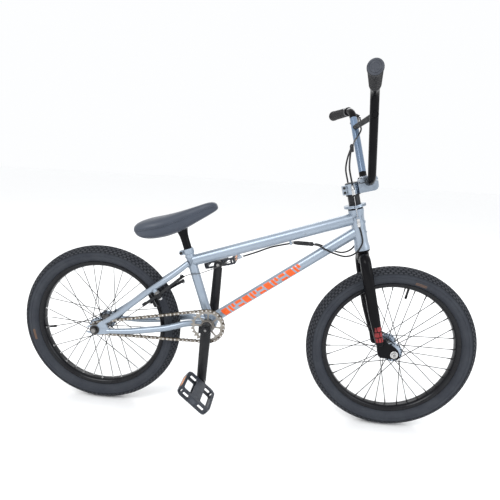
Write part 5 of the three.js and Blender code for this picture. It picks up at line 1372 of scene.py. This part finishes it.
# ------------------------------------------------------------------ Rear brake
arm_outline = [(boss_y + 8, 4), (boss_y + 2, 14), (34, 30), (20, 50), (4, 66), (-5, 81), (-9, 84),
               (-14.6, 80)]
arm_outline += [(-12, 66), (10, 46), (24, 26), (boss_y - 11, 6), (boss_y - 8, -12), (boss_y - 5, -34)]
arm_outline += [(boss_y - 4, -56), (boss_y - 1, -60), (boss_y + 5, -60), (boss_y + 8, -56),
                (boss_y + 10, -34)]
arm_outline += [(boss_y + 10, -8)]
for side, low, high in ((1, 31.0, 39.4), (-1, 21.6, 30.0)):
    name = SIDES[side]
    body = f"brake_{name[0]}"
    arm = Shape()
    place = lambda u, v, depth: on_brake(depth, side * u, v)
    turns = [t * RAD for t in range(10, 360, 20)]
    slot_hole = [(boss_y + 4 * math.cos(t),
                  -32 + math.copysign(4, math.sin(t)) + 4 * math.sin(t)) for t in turns]
    arm.plate(rounded_loop(arm_outline, 5, 4), place, low + 0.1, high - 0.1,
              [circle(boss_y, 0, 4.6, 24), slot_hole])
    profile = [(4.6, 22.6), (8.6, 22.6), (9.3, 23.3), (9.3, 37.2), (8.6, 37.9), (4.6, 37.9)]
    arm.lathe(profile, on_brake(0, side * boss_y, 0), stay_ahead, 36, loop=True)
    ends = (low + 0.1, high + 1.5) if side > 0 else (low - 1.5, high - 0.1)
    for u, v, radius in ((boss_y + 2, -52, 6.8), (-9, 77, 6.0)):
        arm.rod(*[on_brake(end, side * u, v) for end in ends], radius, 24, edge=0.8)
    outward = stay_ahead * side
    tip = on_brake(max(ends, key=lambda depth: depth * side), side * -8.5, 77)
    arm.lathe([(4.4, 0), (4.4, 1.0), (3.8, 1.6), (0, 1.6)], tip, outward, 24, look=1)
    arm.hex(tip + outward * 1.4, outward, 3.4, 2.4, look=1)
    arm.lathe([(7.4, 38.0), (7.4, 39.2), (6.6, 39.8), (0, 39.8)], on_brake(0, side * boss_y, 0), stay_ahead,
              32, look=1)
    arm.cap_screw(on_brake(39.6, side * boss_y, 0), stay_ahead, 5.0, 3.6, look=1)
    piece(f"brake_arm_plate_{name}", arm, [ANODISED, BRIGHT], body, [f"brake_arm_{name}"],
          bevel=0.6)

    spring = Shape()
    path = []
    for k in range(100):
        t = k / 99 * 3.4 * 2 * math.pi
        c, s = math.cos(t), math.sin(t)
        path.append(on_brake(mix(14.5, 21.5, k / 99), side * (boss_y + 8.6 * c), 8.6 * s))
    spring.tube(path, 0.9, 8)
    piece(f"brake_spring_{name}", spring, STEEL, "frame", sharp=60)

    pad = Shape()
    lean = 8.8 * RAD
    along = stay_ahead * math.cos(lean) - stay_up * math.sin(lean)
    over = stay_ahead * math.sin(lean) + stay_up * math.cos(lean)
    centre = on_brake(32, 0, -34.5)
    reach = RIM_HALF + 2.6

    def pad_place(u, v, depth):
        return centre + along * u + over * v + vec(0, side * depth, 0)

    outline = rounded_loop([(-23, -4), (23, -4), (23, 4), (-23, 4)], 3.2, 4)
    pad.plate(outline, pad_place, reach + 0.2, reach + 7.2)
    inner = rounded_loop([(-22, -3.3), (22, -3.3), (22, 3.3), (-22, 3.3)], 2.6, 4)
    pad.plate(inner, pad_place, reach + 7.0, reach + 9.8, look=1)
    for u in (-14, -7, 0, 7, 14):
        pad.block(pad_place(u, 0, reach + 0.3), (along, over, Y), (1.0, 7.0, 0.3), look=1)
    root = on_brake(33, 0, -32)
    pad.rod(root + vec(0, side * (reach + 9.4), 0), root + vec(0, side * (boss_y + 15.8), 0), 3.4, 20,
            look=2, edge=0.5)
    piece(f"brake_pad_block_{name}", pad, [PAD, ANODISED, BRIGHT], body,
          [f"brake_pad_{name}"], bevel=0.4)


# ------------------------------------------------------------------ Cables
HOUSING_RADIUS = 2.5


def cable(name, points, body, nodes=()):
    """A brake cable's housing along some points, with both ends in the object."""
    path = spline(points, 6)
    shape = Shape().tube(path, HOUSING_RADIUS, 14)
    made = piece(name, shape, SLEEVE, body, nodes, sharp=60)


fittings = Shape()


def ferrule(shape, at, along, radius, length, look=0):
    """A short metal sleeve on a cable."""
    profile = [(radius - 0.4, -length / 2), (radius, -length / 2 + 0.5), (radius, length / 2 - 0.5)]
    shape.lathe([*profile, (radius - 0.4, length / 2)], at, along, 24, look)


junction_front, junction_rear = vec(196, 0, 563.5), vec(142, 0, 564)
for side in (-1, 1):
    name = SIDES[side]
    points = [on_head(cable_at, side * 39, 397), on_head(-1, side * 38, 372), on_head(-3, side * 37, 345)]
    points += [on_head(-26, side * 35, 320), on_head(-56, side * 31, 315), vec(256, side * 25, 545)]
    points += [vec(236, side * 21.5, 553), vec(214, side * 12, 562), vec(190, side * 2, 563.5)]
    cable(f"lower_cable_{name}", points, "frame", nodes=["lower_brake_cable"] if side > 0 else ())
    profile = [(3.0, 394), (4.4, 394.6), (4.4, 401), (4.9, 401.4), (4.9, 408), (4.2, 408.6), (4.2, 411),
               (4.9, 411.4)]
    profile += [(4.9, 418.2), (4.0, 418.7)]
    fittings.lathe([(r, h) for r, h in profile], on_head(cable_at, side * 39, 0), HEAD_UP, 24)
    fittings.rod(on_head(cable_at, side * 39, 418), on_head(cable_at, side * 39, 447.8), 0.8, 10, look=1)
    ferrule(fittings, on_head(cable_at, side * 39, 446.2), HEAD_UP, 2.4, 2.6, 0)
piece("lower_cable_adjusters", fittings, [BRIGHT, WIRE], "frame")

barrel = Shape()
along = (junction_rear - junction_front).normalized()
length = (junction_rear - junction_front).length
profile = [(4.2, -3), (6.0, -2.2), (6.4, -1), (6.4, 8), (6.0, 8.8), (6.0, 11), (6.4, 12), (6.4, length - 10)]
barrel.lathe([*profile, (6.0, length - 9), (5.0, length), (3.4, length + 3)], junction_front, along, 36)
for side in (-1, 1):
    ferrule(barrel, junction_front + vec(4.5, side * 2.6, 0), vec(1, side * 0.5, 0), 3.4, 7, look=1)
ferrule(barrel, junction_rear + vec(-3, 0, 0.4), along, 3.5, 7, look=1)
piece("lower_cable_junction", barrel, [SLEEVE, BRIGHT], "frame")
points = [vec(146, 0, 564.6), under_guide.copy(), vec(75, 0, 546), vec(30, 0, 527),
          under_stop + top_along * 14]
points.append(under_stop + top_along * 6.4)
cable("rear_cable_housing", points, "frame")
stop = Shape()
ferrule(stop, under_stop + top_along * 9, top_along, 3.3, 7)
ferrule(stop, under_stop, top_along, 3.25, 12.6)
piece("cable_stop_ferrule", stop, BRIGHT, "frame")
points = [under_stop + top_along * 5.8, under_stop - top_along * 8, vec(-80, -9, 477), vec(-139, -18, 452)]
points += [vec(-170, -17, 446), on_brake(27, -5.2, 89)]
wire = Shape().tube(spline(points, 6), 1.15, 10)
ferrule(wire, on_brake(27, -5.6, 87.5), stay_up, 2.4, 5)
piece("rear_brake_wire", wire, DARK, "frame", ["brake_wire"], sharp=60)

cone_end = on_grip(190) + drop * 36
main = [cone_end, on_head(85, 170, 701), on_head(78, 148, 685), on_head(74, 124, 668), on_head(58, 104, 650)]
main += [on_head(38, 66, 635), on_head(26, 28, 622), on_head(16, 0, 612)]
cable("upper_cable_main", main, "steering", nodes=["upper_brake_cable"])
upper = Shape()
for side in (-1, 1):
    points = [on_head(16, side * 2, 618), on_head(4, side * 24, 590), on_head(-4, side * 37, 560)]
    points += [on_head(cable_at, side * 39, 526), on_head(cable_at, side * 39, 511)]
    cable(f"upper_cable_{SIDES[side]}", points, "steering")
    profile = [(3.2, 486.8), (4.9, 487.2), (4.9, 493), (4.2, 493.6), (4.2, 496), (4.9, 496.6), (4.9, 506),
               (4.2, 507)]
    upper.lathe([*profile, (3.4, 514)], on_head(cable_at, side * 39, 0), HEAD_UP, 24)
    upper.rod(on_head(cable_at, side * 39, 456.5), on_head(cable_at, side * 39, 487), 0.8, 10, look=1)
a, b = on_head(16, 0, 605), on_head(19, 4, 627)
profile = [(3.6, 0), (5.4, 1), (5.6, 2.5), (5.6, 17), (5.0, 19), (3.0, (b - a).length)]
upper.lathe(profile, a, b - a, 32, look=2)
lead = main[1] - cone_end
ferrule(upper, cone_end + lead.normalized() * 4, lead, 3.6, 9)
piece("upper_cable_fittings", upper, [BRIGHT, WIRE, SLEEVE], "steering")


# ------------------------------------------------------------------ Floor and light
floor_mesh = bpy.data.meshes.new("floor")
floor_mesh.from_pydata([(-30, -30, 0), (30, -30, 0), (30, 30, 0), (-30, 30, 0)], [], [(0, 1, 2, 3)])
floor_mesh.materials.append(FLOOR)
floor = bpy.data.objects.new("floor", floor_mesh)
floor.location = (0, 0, -0.0005)
bpy.context.scene.collection.objects.link(floor)
floor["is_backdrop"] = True

bpy.context.scene.view_settings.view_transform = "Standard"
world = bpy.data.worlds.new("studio")
bpy.context.scene.world = world
world.use_nodes = True
world.node_tree.nodes["Background"].inputs["Color"].default_value = (0.985, 0.992, 1.0, 1)
world.node_tree.nodes["Background"].inputs["Strength"].default_value = 1.0


def area_light(name, place, target, size, power, colour=(1, 1, 1)):
    data = bpy.data.lights.new(name, "AREA")
    data.shape = "RECTANGLE"
    data.size, data.size_y = size
    data.energy = power
    data.color = colour
    made = bpy.data.objects.new(name, data)
    bpy.context.scene.collection.objects.link(made)
    made.location = place
    made.rotation_euler = (Vector(target) - Vector(place)).to_track_quat("-Z", "Y").to_euler()


area_light("key", (-1.6, -2.6, 3.4), (0, 0, 0.4), (2.4, 1.6), 80)
area_light("fill", (2.8, -1.8, 1.9), (0.1, 0, 0.4), (1.6, 2.2), 32, (0.92, 0.96, 1.0))
area_light("back", (0.3, 3.0, 2.8), (0, 0, 0.5), (3.0, 1.4), 45)

low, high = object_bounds()
